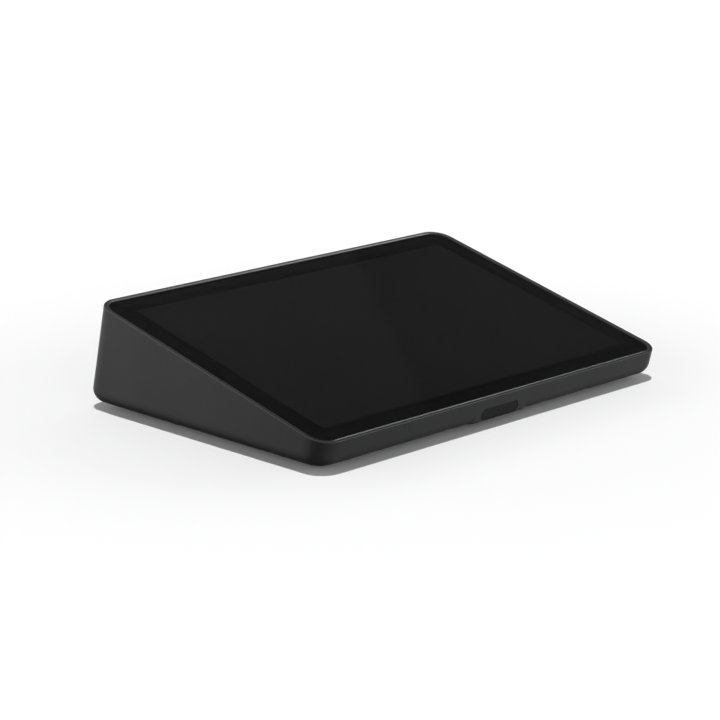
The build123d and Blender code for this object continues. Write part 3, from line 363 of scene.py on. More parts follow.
@dataclass(frozen=True)
class CoatedGlass:
    """Smoked cover glass, coated against glare, with a ground edge where the coat stops.

    It bends what is seen through it and lets the lamps' light through.
    """

    name: str
    tint: Colour
    bend: float
    cover: float
    roughness: float
    gloss: float
    face_way: Way
    edge_roughness: float
    edge_span: Span = (0.9, 0.95)
    haze: float = 30 * MM
    haze_layers: float = 4.0
    haze_roughness: float = 0.004

    def material(self) -> bpy.types.Material:
        """Makes the material.

        Returns:
            The material, new each time.
        """
        graph = ShaderGraph(self.name)
        graph.set(Base_Color=self.tint, Specular_IOR_Level=self.gloss)
        square = graph.sum("ABSOLUTE", graph.facing(self.face_way))
        edge = graph.ramp(square, *self.edge_span, 1.0, 0.0)
        ends = (self.roughness - self.haze_roughness, self.roughness + self.haze_roughness)
        haze = graph.ramp(graph.noise(self.haze, self.haze_layers), *NOISE_SPAN, *ends)
        graph.set(Roughness=graph.sum("MAXIMUM", haze, graph.sum("MULTIPLY", edge, self.edge_roughness)))
        clear = graph.node("ShaderNodeBsdfRefraction", {"Roughness": 0.0, "IOR": self.bend})
        smoke = graph.mix_shaders(graph.sum("MAXIMUM", edge, self.cover), clear, graph.surface)
        open_way = graph.node("ShaderNodeBsdfTransparent", {"Color": grey(1.0 - self.cover)})
        shade = graph.node("ShaderNodeLightPath").outputs["Is Shadow Ray"]
        graph.show(graph.mix_shaders(shade, smoke, open_way))
        return graph.material


@dataclass(frozen=True)
class MatteLayer:
    """What lies behind the glass, without a gloss of its own: printed ink or a switched-off panel."""

    name: str
    colour: Colour
    roughness: float
    mottle: float
    mottle_shade: float

    def material(self) -> bpy.types.Material:
        """Makes the material.

        Returns:
            The material, new each time.
        """
        graph = ShaderGraph(self.name)
        graph.set(Roughness=self.roughness, Specular_IOR_Level=0.0)
        mottle = graph.ramp(graph.noise(self.mottle), *MOTTLE_SPAN)
        graph.paint(mottle, *shades(self.colour, 1 - self.mottle_shade, 1 + self.mottle_shade))
        return graph.material


@dataclass(frozen=True)
class SoftRubber:
    """Rubber, foam or pulp: matte, with fine pores."""

    name: str
    colour: Colour
    pore: float = 0.5 * MM
    pore_layers: float = 4.0
    pore_shade: float = 0.2
    depth: float = 0.02 * MM
    gloss: float = 0.3
    roughness: Span = (0.75, 0.9)

    def material(self) -> bpy.types.Material:
        """Makes the material.

        Returns:
            The material, new each time.
        """
        graph = ShaderGraph(self.name)
        graph.set(Specular_IOR_Level=self.gloss)
        pores = graph.noise(self.pore, self.pore_layers)
        shown = graph.ramp(pores, *NOISE_SPAN)
        graph.paint(shown, *shades(self.colour, 1 - self.pore_shade, 1 + self.pore_shade))
        graph.roughen(pores, *self.roughness)
        graph.relief(pores, self.depth)
        return graph.material


@dataclass(frozen=True)
class Metal:
    """Bare or plated metal with fine rolling or turning marks and faint stains."""

    name: str
    colour: Colour
    roughness: float = 0.3
    smoother: float = 0.06
    rougher: float = 0.08
    mark: float = 0.15 * MM
    mark_stretch: float = 12.0
    depth: float = 0.003 * MM
    stain: float = 14 * MM
    stain_layers: float = 3.0
    stain_span: Span = (0.35, 0.7)
    stain_shade: float = 0.85

    def material(self) -> bpy.types.Material:
        """Makes the material.

        Returns:
            The material, new each time.
        """
        graph = ShaderGraph(self.name)
        graph.set(Metallic=1.0)
        scale = (1.0 / self.mark_stretch, 1.0, 1.0)
        stretched = graph.node("ShaderNodeMapping", {"Vector": graph.place, "Scale": scale})
        marks = graph.noise(self.mark, place=stretched.outputs["Vector"])
        stain = graph.ramp(graph.noise(self.stain, self.stain_layers), *self.stain_span)
        graph.paint(stain, *shades(self.colour, 1.0, self.stain_shade))
        graph.roughen(marks, self.roughness - self.smoother, self.roughness + self.rougher)
        graph.relief(marks, self.depth)
        return graph.material


@dataclass(frozen=True)
class BoardLaminate:
    """Circuit board laminate under solder mask, with copper tracks that show as faint ridges."""

    name: str
    mask: Colour
    track: Colour
    roughness: float = 0.32
    run: float = 7 * MM
    pitch: float = 0.9 * MM
    width: float = 0.09 * MM
    thickness: float = 0.035 * MM
    stagger: float = 0.37
    stagger_rows: int = 3

    def material(self) -> bpy.types.Material:
        """Makes the material.

        Returns:
            The material, new each time.
        """
        graph = ShaderGraph(self.name)
        graph.set(Roughness=self.roughness)
        sizes = {"Brick Width": self.run, "Row Height": self.pitch, "Mortar Size": self.width}
        cells = graph.node(
            "ShaderNodeTexBrick",
            {"Scale": 1.0, "Vector": graph.place, **sizes},
            offset=self.stagger,
            offset_frequency=self.stagger_rows,
        )
        tracks = cells.outputs["Fac"]
        graph.paint(tracks, self.mask, self.track)
        graph.relief(tracks, self.thickness)
        return graph.material


@dataclass(frozen=True)
class WovenCloth:
    """Fine woven dust cloth."""

    name: str
    colour: Colour
    thread: float = 0.35 * MM
    depth: float = 0.15 * MM
    gap_shade: float = 0.45
    thread_shade: float = 1.5
    roughness: float = 0.9
    gloss: float = 0.2
    sheen: float = 0.2

    def material(self) -> bpy.types.Material:
        """Makes the material.

        Returns:
            The material, new each time.
        """
        graph = ShaderGraph(self.name)
        graph.set(Roughness=self.roughness, Specular_IOR_Level=self.gloss, Sheen_Weight=self.sheen)
        warp = graph.wave("X", 2 * self.thread)
        weft = graph.wave("Y", 2 * self.thread)
        weave = graph.ramp(graph.sum("MULTIPLY", warp, weft), -1.0, 1.0)
        graph.paint(weave, *shades(self.colour, self.gap_shade, self.thread_shade))
        graph.relief(weave, self.depth)
        return graph.material


@dataclass(frozen=True)
class Film:
    """Polyimide sheet with copper lines that run along it."""

    name: str
    colour: Colour
    line_colour: Colour
    line_pitch: float = 0.8 * MM
    line_edge: float = 0.5
    depth: float = 0.02 * MM
    roughness: float = 0.35

    def material(self) -> bpy.types.Material:
        """Makes the material.

        Returns:
            The material, new each time.
        """
        graph = ShaderGraph(self.name)
        graph.set(Roughness=self.roughness)
        lines = graph.ramp(graph.wave("X", self.line_pitch), 0.0, self.line_edge)
        graph.paint(lines, self.colour, self.line_colour)
        graph.relief(lines, self.depth)
        return graph.material


@dataclass(frozen=True)
class LightCard:
    """Glowing face of a studio card, brighter along one way, with a dark band behind a crisp line.

    It fades to white towards its edges.
    """

    name: str
    level: float
    rise: float
    rise_way: tuple[float, float]
    line_point: tuple[float, float]
    line_way: tuple[float, float]
    band_level: float
    band_width: float
    half_size: tuple[float, float]
    fade_from: float

    def material(self) -> bpy.types.Material:
        """Makes the material.

        Returns:
            The material, new each time.
        """
        graph = ShaderGraph(self.name)
        glow = graph.slope(self.rise_way[0] * self.rise, self.rise_way[1] * self.rise, self.level)
        (point_x, point_y), (way_x, way_y) = self.line_point, self.line_way
        behind = graph.slope(way_y, -way_x, point_y * way_x - point_x * way_y)
        band = graph.ramp(behind, 0.0, self.band_width, self.band_level, 1.0)
        step = graph.sum("MAXIMUM", band, graph.sum("LESS_THAN", behind, 0.0))
        fade = graph.ramp(graph.reach(*self.half_size), self.fade_from, 1.0)
        fade = graph.sum("MULTIPLY", fade, fade)
        middle = graph.sum("MULTIPLY", graph.sum("MULTIPLY", glow, step), graph.sum("SUBTRACT", 1.0, fade))
        graph.show(graph.node("ShaderNodeEmission", {"Strength": graph.sum("ADD", middle, fade)}))
        return graph.material


@dataclass(frozen=True)
class StudioFloor:
    """Pale matte floor with painted shade round the object: painted darker near the object and lighter away
    from it. It throws little light back at the object.
    """

    name: str
    # Painted shade: the floor's grey near the object is darker than its grey far from it.
    near: float
    far: float
    bounce: float
    painted_shade_radius: float
    painted_shade_fade_radius: float

    def material(self) -> bpy.types.Material:
        """Makes the material.

        Returns:
            The material, new each time.
        """
        graph = ShaderGraph(self.name)
        graph.set(Roughness=1.0, Specular_IOR_Level=0.0)
        # Painted shade: the floor is painted darker near the object's middle and lightens farther out.
        away = graph.ramp(graph.reach(1.0, 1.0), self.painted_shade_radius, self.painted_shade_fade_radius)
        shown = graph.blend(away, grey(self.near), grey(self.far))
        graph.set(Base_Color=graph.blend(graph.in_view(), grey(self.bounce), shown))
        return graph.material


Finish = (
    MouldedPlastic | CoatedGlass | MatteLayer | SoftRubber | Metal
    | BoardLaminate | WovenCloth | Film | LightCard | StudioFloor
)


class Palette:
    """Every finish of the console by its slot name, each made once."""

    def __init__(self, finishes: Iterable[Finish]) -> None:
        """Keeps the finishes, whose names are the record's slots or the scene's own."""
        self.finishes = {finish.name: finish for finish in finishes}
        self.made: dict[str, bpy.types.Material] = {}

    def __getitem__(self, name: str) -> bpy.types.Material:
        """Finds a material, and makes it the first time.

        Args:
            name: The finish's name.

        Returns:
            The material.
        """
        if name not in self.made:
            self.made[name] = self.finishes[name].material()
        return self.made[name]


CONSOLE_FINISHES: tuple[Finish, ...] = (
    HousingPlastic("black_housing", (0.0235, 0.0235, 0.0238), roughness=0.3, gloss=0.014),
    MouldedPlastic("display_frame_plastic", (0.05, 0.05, 0.052), roughness=0.55, grain=Grain.MEDIUM),
    MouldedPlastic("backlight_white", (0.8, 0.8, 0.78), roughness=0.6),
    MouldedPlastic("chip_package", grey(0.03), roughness=0.55),
    MouldedPlastic("reset_button", grey(0.2), roughness=0.45),
    MouldedPlastic("sensor_window", (0.0068, 0.0068, 0.0069), roughness=0.2, gloss=0.04),
    MouldedPlastic("magnet_ferrite", grey(0.06), roughness=0.7, grain=Grain.COARSE),
    CoatedGlass(
        "cover_glass",
        grey(0.0),
        bend=1.5,
        cover=0.4,
        roughness=0.012,
        gloss=0.25,
        face_way=SCREEN_WAY,
        edge_roughness=0.3,
    ),
    MatteLayer("glass_mask", (0.0024, 0.0024, 0.00245), roughness=0.6, mottle=3 * MM, mottle_shade=0.08),
    MatteLayer("screen_panel", (0.0063, 0.0063, 0.0064), roughness=0.45, mottle=25 * MM, mottle_shade=0.03),
    SoftRubber("gasket_foam", grey(0.03), pore=0.25 * MM),
    SoftRubber("thermal_pad", (0.35, 0.4, 0.5), pore=1.5 * MM),
    SoftRubber("foot_rubber", grey(0.02)),
    SoftRubber("speaker_paper", grey(0.05), pore=0.9 * MM, depth=0.03 * MM),
    Metal("pressed_steel", (0.55, 0.56, 0.57), roughness=0.35),
    Metal("screw_steel", (0.12, 0.12, 0.125), roughness=0.35, mark_stretch=1.0),
    Metal("backplate_aluminium", (0.75, 0.76, 0.77), roughness=0.4),
    Metal("port_shell", grey(0.7), roughness=0.2),
    Metal("insert_brass", (0.7, 0.52, 0.22), mark_stretch=1.0),
    Metal("magnet_nickel", (0.72, 0.7, 0.66), roughness=0.15, mark_stretch=1.0),
    BoardLaminate("circuit_board", (0.008, 0.05, 0.025), (0.02, 0.12, 0.06)),
    Film("flex_circuit", (0.45, 0.22, 0.04), (0.6, 0.34, 0.1)),
    WovenCloth("speaker_cloth", grey(0.02)),
)


# ---------------------------------------------------------------- mesh drafting
def add_object(name: str, data: bpy.types.ID) -> bpy.types.Object:
    """Puts a mesh, a lamp or a camera in the scene.

    Args:
        name: The new object's name.
        data: What the object shows.

    Returns:
        The new object.
    """
    made = bpy.data.objects.new(name, data)
    bpy.context.scene.collection.objects.link(made)
    return made


@dataclass
class MeshDraft:
    """Points and faces of a piece while it is shaped, as bodies of stacked rings."""

    points: list[Vector] = field(default_factory=list)
    faces: list[tuple[int, ...]] = field(default_factory=list)

    def add_body(self, rings: Sequence[Ring], looped: bool = False) -> None:
        """Adds a closed body whose rings are joined by quads.

        Args:
            rings: Rings with the same number of points, in order.
            looped: Joins the last ring to the first. Otherwise both ends are capped.
        """
        start = len(self.points)
        count = len(rings[0])
        for ring in rings:
            self.points.extend(ring)
        for step in range(len(rings) if looped else len(rings) - 1):
            low = start + step * count
            high = start + (step + 1) % len(rings) * count
            for index in range(count):
                after = (index + 1) % count
                self.faces.append((low + index, low + after, high + after, high + index))
        if not looped:
            last = len(self.points) - count
            self.faces.append(tuple(range(start, start + count)))
            self.faces.append(tuple(range(last, last + count)))

    def make(self, name: str, slot: str, palette: Palette, body: str = "base") -> bpy.types.Object:
        """Turns the draft into a piece with smooth faces and crisp edges.

        Args:
            name: The piece's name.
            slot: The record's slot that it takes its finish from.
            palette: The finishes.
            body: The body that it rides on.

        Returns:
            The piece.
        """
        mesh = bpy.data.meshes.new(name)
        mesh.from_pydata(self.points, [], self.faces)
        shape = bmesh.new()
        shape.from_mesh(mesh)
        bmesh.ops.recalc_face_normals(shape, faces=shape.faces)
        for face in shape.faces:
            face.smooth = True
        for edge in shape.edges:
            edge.smooth = edge.calc_face_angle(0.0) < CREASE_ANGLE
        shape.to_mesh(mesh)
        shape.free()
        mesh.materials.append(palette[slot])
        piece = add_object(name, mesh)
        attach(piece, body)
        LOG.info("made %s, %d faces", name, len(self.faces))
        return piece


def round_rings(place: Matrix, count: int, steps: Iterable[tuple[float, Radius]]) -> list[Ring]:
    """Rings round an axis.

    Args:
        place: Turns the rings' own axes, with Z as their axis, into the frame's.
        count: Number of points in each ring.
        steps: Each ring's radius, or what gives it for an angle in radians, after its height
            along the axis, in metres.

    Returns:
        The rings.
    """
    rings = []
    for level, radius in steps:
        ring = []
        for index in range(count):
            angle = math.tau * index / count
            reach = radius(angle) if callable(radius) else radius
            ring.append(place @ Vector((reach * math.cos(angle), reach * math.sin(angle), level)))
        rings.append(ring)
    return rings


def slot_ring(place: Matrix, level: float, half_run: float, radius: float, count: int) -> Ring:
    """A ring with two straight sides and two half-round ends.

    Args:
        place: Turns the ring's own axes into the frame's. X runs along the straight sides.
        level: Height along the axis, in metres.
        half_run: Half the length of a straight side.
        radius: Radius of the ends.
        count: Number of points on each end.

    Returns:
        The ring's points.
    """
    ring = []
    for end in (1, -1):
        for index in range(count):
            angle = math.pi * (index / (count - 1) - 0.5)
            across = end * (half_run + radius * math.cos(angle))
            ring.append(place @ Vector((across, end * radius * math.sin(angle), level)))
    return ring


def block_ring(place: Matrix, level: float, wide: float, high: float, corner: float) -> Ring:
    """A rectangular ring with cut corners.

    Args:
        place: Turns the ring's own axes into the frame's.
        level: Height along the axis, in metres.
        wide: Size along X.
        high: Size along Y.
        corner: How much of each corner is cut off.

    Returns:
        The ring's points.
    """
    half_wide, half_high = wide / 2, high / 2
    flat = [
        (half_wide, half_high - corner), (half_wide - corner, half_high),
        (corner - half_wide, half_high), (-half_wide, half_high - corner),
        (-half_wide, corner - half_high), (corner - half_wide, -half_high),
        (half_wide - corner, -half_high), (half_wide, corner - half_high),
    ]
    return [place @ Vector((across, up, level)) for across, up in flat]


def axes_along(way: Vector, turned: str = "Y") -> Matrix:
    """Turns axes with Z along a way into the frame's, with one of the others turned up."""
    return way.to_track_quat("Z", turned).to_matrix().to_4x4()


def thread_rise(level: float, angle: float, pitch: float, fullness: float) -> float:
    """A thread's rise, from 0 at its root to 1 at its crest, which a fullness over 1 flattens."""
    phase = (level / pitch - angle / math.tau) % 1.0
    return min(1.0, fullness * (1.0 - abs(2.0 * phase - 1.0)))


# ---------------------------------------------------------------- blanks in the frame
@dataclass(frozen=True)
class Blank:
    """A round solid of the frame: the middle of its lower end, its axis and its points.

    Each point is given as its distance from the axis and its height above the lower end.
    """

    foot: Vector
    way: Vector
    length: float
    points: tuple[tuple[float, float], ...]

    @property
    def outer(self) -> float:
        """The largest radius."""
        return max(radius for radius, _ in self.points)

    @property
    def inner(self) -> float:
        """The smallest radius."""
        return min(radius for radius, _ in self.points)

    def place(self, from_top: bool = False) -> Matrix:
        """Turns axes that start at one end, with Z into the solid, into the frame's.

        Args:
            from_top: Starts at the upper end.

        Returns:
            The matrix.
        """
        if from_top:
            return Matrix.Translation(self.foot + self.way * self.length) @ axes_along(-self.way)
        return Matrix.Translation(self.foot) @ axes_along(self.way)


def find_blanks(node: str, way: Sequence[float], reach: float) -> list[Blank]:
    """Sorts a node's points into its separate round solids.

    Args:
        node: The node's name.
        way: The solids' axis.
        reach: More than a solid's width and less than the space between two, in metres.

    Returns:
        The solids.
    """
    turn = axes_along(Vector(way)).to_3x3()
    back = turn.inverted()
    groups: list[list[Vector]] = []
    for vertex in frame["nodes"][node].data.vertices:
        point = back @ vertex.co
        near = [group for group in groups if (point.xy - group[0].xy).length < reach]
        if near:
            near[0].append(point)
        else:
            groups.append([point])
    blanks = []
    for group in groups:
        low = Vector(min(point[axis] for point in group) for axis in range(3))
        high = Vector(max(point[axis] for point in group) for axis in range(3))
        middle = (low + high) / 2
        points = tuple(sorted(((point.xy - middle.xy).length, point.z - low.z) for point in group))
        foot = turn @ Vector((middle.x, middle.y, low.z))
        blanks.append(Blank(foot, turn @ Vector(UP), high.z - low.z, points))
    return blanks


# ---------------------------------------------------------------- sub-assemblies
@dataclass
class SubAssembly:
    """Nodes of the frame that belong together."""

    nodes: tuple[str, ...] = ()

    def build(self, palette: Palette) -> None:
        """Makes the sub-assembly's own pieces. The plain one has none."""

    def dress(self, palette: Palette) -> None:
        """Gives each node the finish of its slot.

        Args:
            palette: The finishes.
        """
        for name in self.nodes:
            node = frame["nodes"][name]
            node.data.materials.clear()
            node.data.materials.append(palette[SLOTS[name]])
            LOG.info("dressed %s in %s", name, SLOTS[name])


@dataclass
class Screws(SubAssembly):
    """Machine screws in place of a node's plain blanks."""

    way: Way = UP
    drive: Drive = Drive.SIX_LOBE
    reach: float = 6 * MM
    segments: int = 24
    socket_share: float = 0.44
    socket_depth: float = 0.6
    bottom_share: float = 1 / 5
    bottom_depth: float = 1 / 3
    head_edge: float = 0.14
    chamfer_share: float = 1 / 3
    head_share: float = 0.95
    pitch_share: float = 0.34
    root_share: float = 0.8
    tip_share: float = 0.8
    tip_zone: float = 1 / 4
    fullness: float = 1.6
    steps_per_turn: int = 4

    def head_rings(self, place: Matrix, radius: float, height: float) -> list[Ring]:
        """The head, from the bottom of its recess to its underside.

        Args:
            place: The screw's axes, which start at the head's top.
            radius: The head's radius.
            height: The head's height.

        Returns:
            The rings.
        """
        size = radius * self.socket_share
        depth = height * self.socket_depth
        edge = radius * self.head_edge
        chamfer = edge * self.chamfer_share
        bottom = (depth + size * self.bottom_depth, size * self.bottom_share)

        def wall(angle: float) -> float:
            """The recess's radius at an angle."""
            return self.drive.radius(angle, size)

        def mouth(angle: float) -> float:
            """The radius of the recess's chamfer at an angle."""
            return wall(angle) + chamfer

        recess = [bottom, (depth, wall), (chamfer, wall), (0.0, mouth)]
        outside = [(0.0, radius - edge), (chamfer, radius - chamfer), (edge, radius), (height, radius)]
        return round_rings(place, self.segments, recess + outside)

    def thread_rings(self, place: Matrix, radius: float, start: float, end: float) -> list[Ring]:
        """The threaded shank.

        Args:
            place: The screw's axes, which start at the head's top.
            radius: The thread's outer radius.
            start: Where the shank begins, below the head's top.
            end: Where it ends.

        Returns:
            The rings.
        """
        pitch = 2 * radius * self.pitch_share
        root = radius * self.root_share
        step = pitch / self.steps_per_turn
        steps: list[tuple[float, Radius]] = [(start, root)]
        for index in range(int((end - start - pitch) / step) + 1):
            level = start + pitch / 2 + index * step

            def crest(angle: float, level: float = level) -> float:
                """The thread's radius at an angle of this ring."""
                fade = min(1.0, (end - level) / pitch, (level - start) / pitch * 2)
                return root + (radius - root) * thread_rise(level, angle, pitch, self.fullness) * fade

            steps.append((level, crest))
        return round_rings(place, self.segments, [*steps, (end, root * self.tip_share)])

    def build(self, palette: Palette) -> None:
        """Makes the screws of every node.

        Args:
            palette: The finishes.
        """
        for node in self.nodes:
            draft = MeshDraft()
            for blank in find_blanks(node, self.way, self.reach):
                rim = [level for radius, level in blank.points if radius > self.head_share * blank.outer]
                upper = sum(rim) / len(rim) > blank.length / 2
                height = max(rim) - min(rim)
                zone = blank.length * self.tip_zone
                tip = [radius for radius, level in blank.points if (level < zone) == upper]
                place = blank.place(from_top=upper)
                head = self.head_rings(place, blank.outer, height)
                draft.add_body(head + self.thread_rings(place, max(tip), height, blank.length))
            piece = draft.make(f"{node}_cut", SLOTS[node], palette)
            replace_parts(piece, node)


@dataclass
class Inserts(SubAssembly):
    """Knurled brass inserts with a threaded bore, flush with the underside."""

    nodes: tuple[str, ...] = ("mounting_inserts",)
    reach: float = 12 * MM
    segments: int = 48
    pitch: float = 0.7 * MM
    thread_depth: float = 0.32 * MM
    fullness: float = 1.5
    mouth_chamfer: float = 0.4 * MM
    flange: float = 0.9 * MM
    neck_shares: Span = (1.2, 1.4)
    knurl_depth: float = 0.14 * MM
    steps_per_turn: int = 4

    def rings(self, blank: Blank) -> list[Ring]:
        """One insert's rings, down its outside and up its bore.

        Args:
            blank: The tube that it stands for.

        Returns:
            The rings.
        """
        outer, bore, length = blank.outer, blank.inner, blank.length
        neck_low, neck_high = (share * self.flange for share in self.neck_shares)
        neck = outer - 2 * self.knurl_depth

        def knurl(angle: float) -> float:
            """The knurled outside's radius at an angle."""
            tooth = round(angle / math.tau * self.segments) % 2
            return outer - self.knurl_depth * tooth

        steps: list[tuple[float, Radius]] = [
            (length, neck), (length - self.flange / 2, knurl), (neck_high, knurl), (neck_low, neck),
            (self.flange, outer), (0.0, outer), (0.0, bore + self.mouth_chamfer),
        ]
        level = self.mouth_chamfer
        while level < length - self.pitch / 2:

            def groove(angle: float, level: float = level) -> float:
                """The bore's radius at an angle of this ring."""
                return bore + self.thread_depth * thread_rise(level, angle, self.pitch, self.fullness)

            steps.append((level, groove))
            level += self.pitch / self.steps_per_turn
        return round_rings(blank.place(), self.segments, [*steps, (length, bore)])

    def build(self, palette: Palette) -> None:
        """Makes the four inserts.

        Args:
            palette: The finishes.
        """
        node = self.nodes[0]
        draft = MeshDraft()
        for blank in find_blanks(node, UP, self.reach):
            draft.add_body(self.rings(blank), looped=True)
        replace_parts(draft.make("threaded_inserts", SLOTS[node], palette), node)


@dataclass
class Feet(SubAssembly):
    """Rubber feet with a rounded lower edge and grooves that grip the table."""

    nodes: tuple[str, ...] = ("foot_front_left", "foot_front_right", "foot_back_left", "foot_back_right")
    edge_round: float = 0.6 * MM
    edge_steps: int = 5
    first_groove: float = 1.5 * MM
    groove_width: float = 0.8 * MM
    groove_depth: float = 0.4 * MM
    groove_slant: float = 0.15 * MM
    groove_pitch: float = 1.6 * MM
    groove_count: int = 2
    end_points: int = 20
    core: float = 0.3 * MM

    def profile(self) -> list[tuple[float, float]]:
        """Steps round the lower edge and over the grooves.

        Returns:
            The inset and the height above the table of each step, in metres.
        """
        steps = []
        for index in range(self.edge_steps + 1):
            angle = math.pi / 2 * index / self.edge_steps
            steps.append((self.edge_round * (1 - math.cos(angle)), self.edge_round * (1 - math.sin(angle))))
        for index in range(self.groove_count):
            start = self.first_groove + index * self.groove_pitch
            end = start + self.groove_width
            steps.append((start, 0.0))
            steps.append((start + self.groove_slant, self.groove_depth))
            steps.append((end - self.groove_slant, self.groove_depth))
            steps.append((end, 0.0))
        return steps

    def build(self, palette: Palette) -> None:
        """Makes the four feet.

        Args:
            palette: The finishes.
        """
        for node in self.nodes:
            low, high = (Vector(corner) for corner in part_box(node))
            size = high - low
            radius = size.y / 2
            half_run = size.x / 2 - radius
            place = Matrix.Translation(((low.x + high.x) / 2, (low.y + high.y) / 2, low.z))
            steps = [(0.0, size.z), *self.profile(), (radius - self.core, 0.0)]
            draft = MeshDraft()
            draft.add_body([
                slot_ring(place, level, half_run, radius - inset, self.end_points) for inset, level in steps
            ])
            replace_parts(draft.make(f"{node}_pad", SLOTS[node], palette), node)


@dataclass(frozen=True)
class Tongue:
    """The plastic tongue in a connector and the contacts on it, in metres."""

    node: str
    name: str
    shell: float
    width: float
    height: float
    contact_count: int
    contact_pitch: float
    contact_width: float
    contact_run: float
    both_faces: bool = True


@dataclass
class CableBay(SubAssembly):
    """The bay under its door: connectors with their contacts, reset button, clamp and magnets."""

    nodes: tuple[str, ...] = (
        "bay_door", "door_magnets", "catch_magnets", "cable_clamp",
        "usb_c_port", "hdmi_port", "usb_a_port", "audio_jack", "reset_button",
    )
    tongues: tuple[Tongue, ...] = (
        Tongue("usb_c_port", "oval_port", 0.35 * MM, 6.6 * MM, 0.7 * MM, 12, 0.5 * MM, 0.26 * MM, 4 * MM),
        Tongue("hdmi_port", "video_port", 0.5 * MM, 11 * MM, 1.4 * MM, 10, 1.0 * MM, 0.45 * MM, 6 * MM),
        Tongue("usb_a_port", "flat_port", 0.4 * MM, 11 * MM, 1.8 * MM, 4, 2.2 * MM, 1.1 * MM, 8 * MM, False),
    )
    sleeve: float = 0.05 * MM
    contact_rise: float = 0.06 * MM
    contact_setback: float = 0.5 * MM
    contact_lead: float = 0.25 * MM
    corner: float = 0.15 * MM
    corner_share: float = 1 / 4
    nose_share: float = 1 / 3

    def build_tongue(self, tongue: Tongue, palette: Palette) -> None:
        """Sleeves a connector's tongue in plastic and lays its contacts.

        Args:
            tongue: The tongue's sizes.
            palette: The finishes.
        """
        low, high = (Vector(corner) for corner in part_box(tongue.node))
        mouth = Vector(((low.x + high.x) / 2, high.y - tongue.shell, (low.z + high.z) / 2))
        place = Matrix.Translation(mouth) @ axes_along(Vector((0.0, -1.0, 0.0)), "X")
        wide, thick = tongue.width + 2 * self.sleeve, tongue.height + 2 * self.sleeve
        run = high.y - low.y - 2 * tongue.shell
        cut = min(self.corner, thick * self.corner_share)
        sleeve = MeshDraft()
        sleeve.add_body([
            block_ring(place, -self.sleeve, thick - 2 * cut, wide - 2 * cut, cut * self.nose_share),
            block_ring(place, cut, thick, wide, cut),
            block_ring(place, run, thick, wide, cut),
        ])
        sleeve.make(f"{tongue.name}_tongue", "chip_package", palette)
        steps = (
            (self.contact_setback, self.contact_rise / 2),
            (self.contact_setback + self.contact_lead, 2 * self.contact_rise),
            (tongue.contact_run, 2 * self.contact_rise),
        )
        contacts = MeshDraft()
        for face in (1, -1) if tongue.both_faces else (-1,):
            for index in range(tongue.contact_count):
                across = (index - (tongue.contact_count - 1) / 2) * tongue.contact_pitch
                spot = place @ Matrix.Translation((face * thick / 2, across, 0.0))
                contacts.add_body([
                    block_ring(spot, level, rise, tongue.contact_width, rise * self.corner_share)
                    for level, rise in steps
                ])
        contacts.make(f"{tongue.name}_contacts", "insert_brass", palette)

    def build(self, palette: Palette) -> None:
        """Makes the tongues and contacts of the three sockets."""
        for tongue in self.tongues:
            self.build_tongue(tongue, palette)


@dataclass
class Speaker(SubAssembly):
    """The speaker, with a rolled surround, a curved cone and a domed cap."""

    nodes: tuple[str, ...] = (
        "speaker_box", "speaker_lid", "speaker_gasket", "speaker_mesh", "speaker_basket",
        "speaker_magnet", "speaker_cone",
    )
    reach: float = 60 * MM
    segments: int = 72
    roll_width: float = 3.6 * MM
    roll_height: float = 1.1 * MM
    skin: float = 0.5 * MM
    coil_share: float = 0.39
    coil_wall: float = 0.4 * MM
    lip: float = 0.5 * MM
    flare: float = 0.9 * MM
    cap_rise: float = 1.6 * MM
    arc_steps: int = 8

    def lower_profile(self, radius: float, depth: float) -> list[tuple[float, float]]:
        """The side that faces the grille, from the outer lip to the axis.

        Args:
            radius: The outer radius.
            depth: Height of the cone's neck above the lip.

        Returns:
            Height above the lip and radius, step by step.
        """
        coil = radius * self.coil_share
        inner = radius - self.roll_width
        middle = (radius - self.lip + inner) / 2
        half = (radius - self.lip - inner) / 2
        shares = [index / self.arc_steps for index in range(self.arc_steps + 1)]
        steps = [(0.0, radius)]
        for share in shares:
            angle = math.pi * share
            steps.append((-self.roll_height * math.sin(angle), middle + half * math.cos(angle)))
        for share in shares[1:]:
            bulge = self.flare * math.sin(math.pi * share)
            steps.append((depth * share + bulge, inner + (coil - inner) * share))
        for share in shares[1:-1]:
            steps.append((depth - self.cap_rise * math.sin(math.pi / 2 * share), coil * (1 - share)))
        return steps

    def build(self, palette: Palette) -> None:
        """Makes the moving cone.

        Args:
            palette: The finishes.
        """
        node = "speaker_cone"
        blank = find_blanks(node, UP, self.reach)[0]
        coil = blank.outer * self.coil_share
        bore = coil - self.coil_wall
        neck = min(level for radius, level in blank.points if radius < coil + self.skin)
        lower = self.lower_profile(blank.outer, neck)
        back = [(level + self.skin, radius) for level, radius in reversed(lower)]
        cap = [step for step in back if step[1] < bore]
        upper = [step for step in back if step[1] > coil + self.skin]
        top = neck + self.skin
        former = [(top, bore), (blank.length, bore), (blank.length, coil), (top, coil)]
        draft = MeshDraft()
        draft.add_body(round_rings(blank.place(), self.segments, [*lower, *cap, *former, *upper]))
        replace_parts(draft.make("cone_and_surround", SLOTS[node], palette, body="cone"), node)


# ---------------------------------------------------------------- studio
@dataclass(frozen=True)
class FarLamp:
    """A lamp so far away that its light is parallel: the way to it and how wide it looks."""

    name: str
    way: Way
    strength: float
    angle: float
    glints_on: str = ""

    def make(self) -> bpy.types.Object:
        """Makes the lamp.

        Returns:
            The lamp's object.
        """
        data = bpy.data.lights.new(self.name, "SUN")
        data.energy = self.strength
        data.angle = self.angle
        made = add_object(self.name, data)
        made.rotation_euler = Vector(self.way).to_track_quat("Z", "Y").to_euler()
        return made


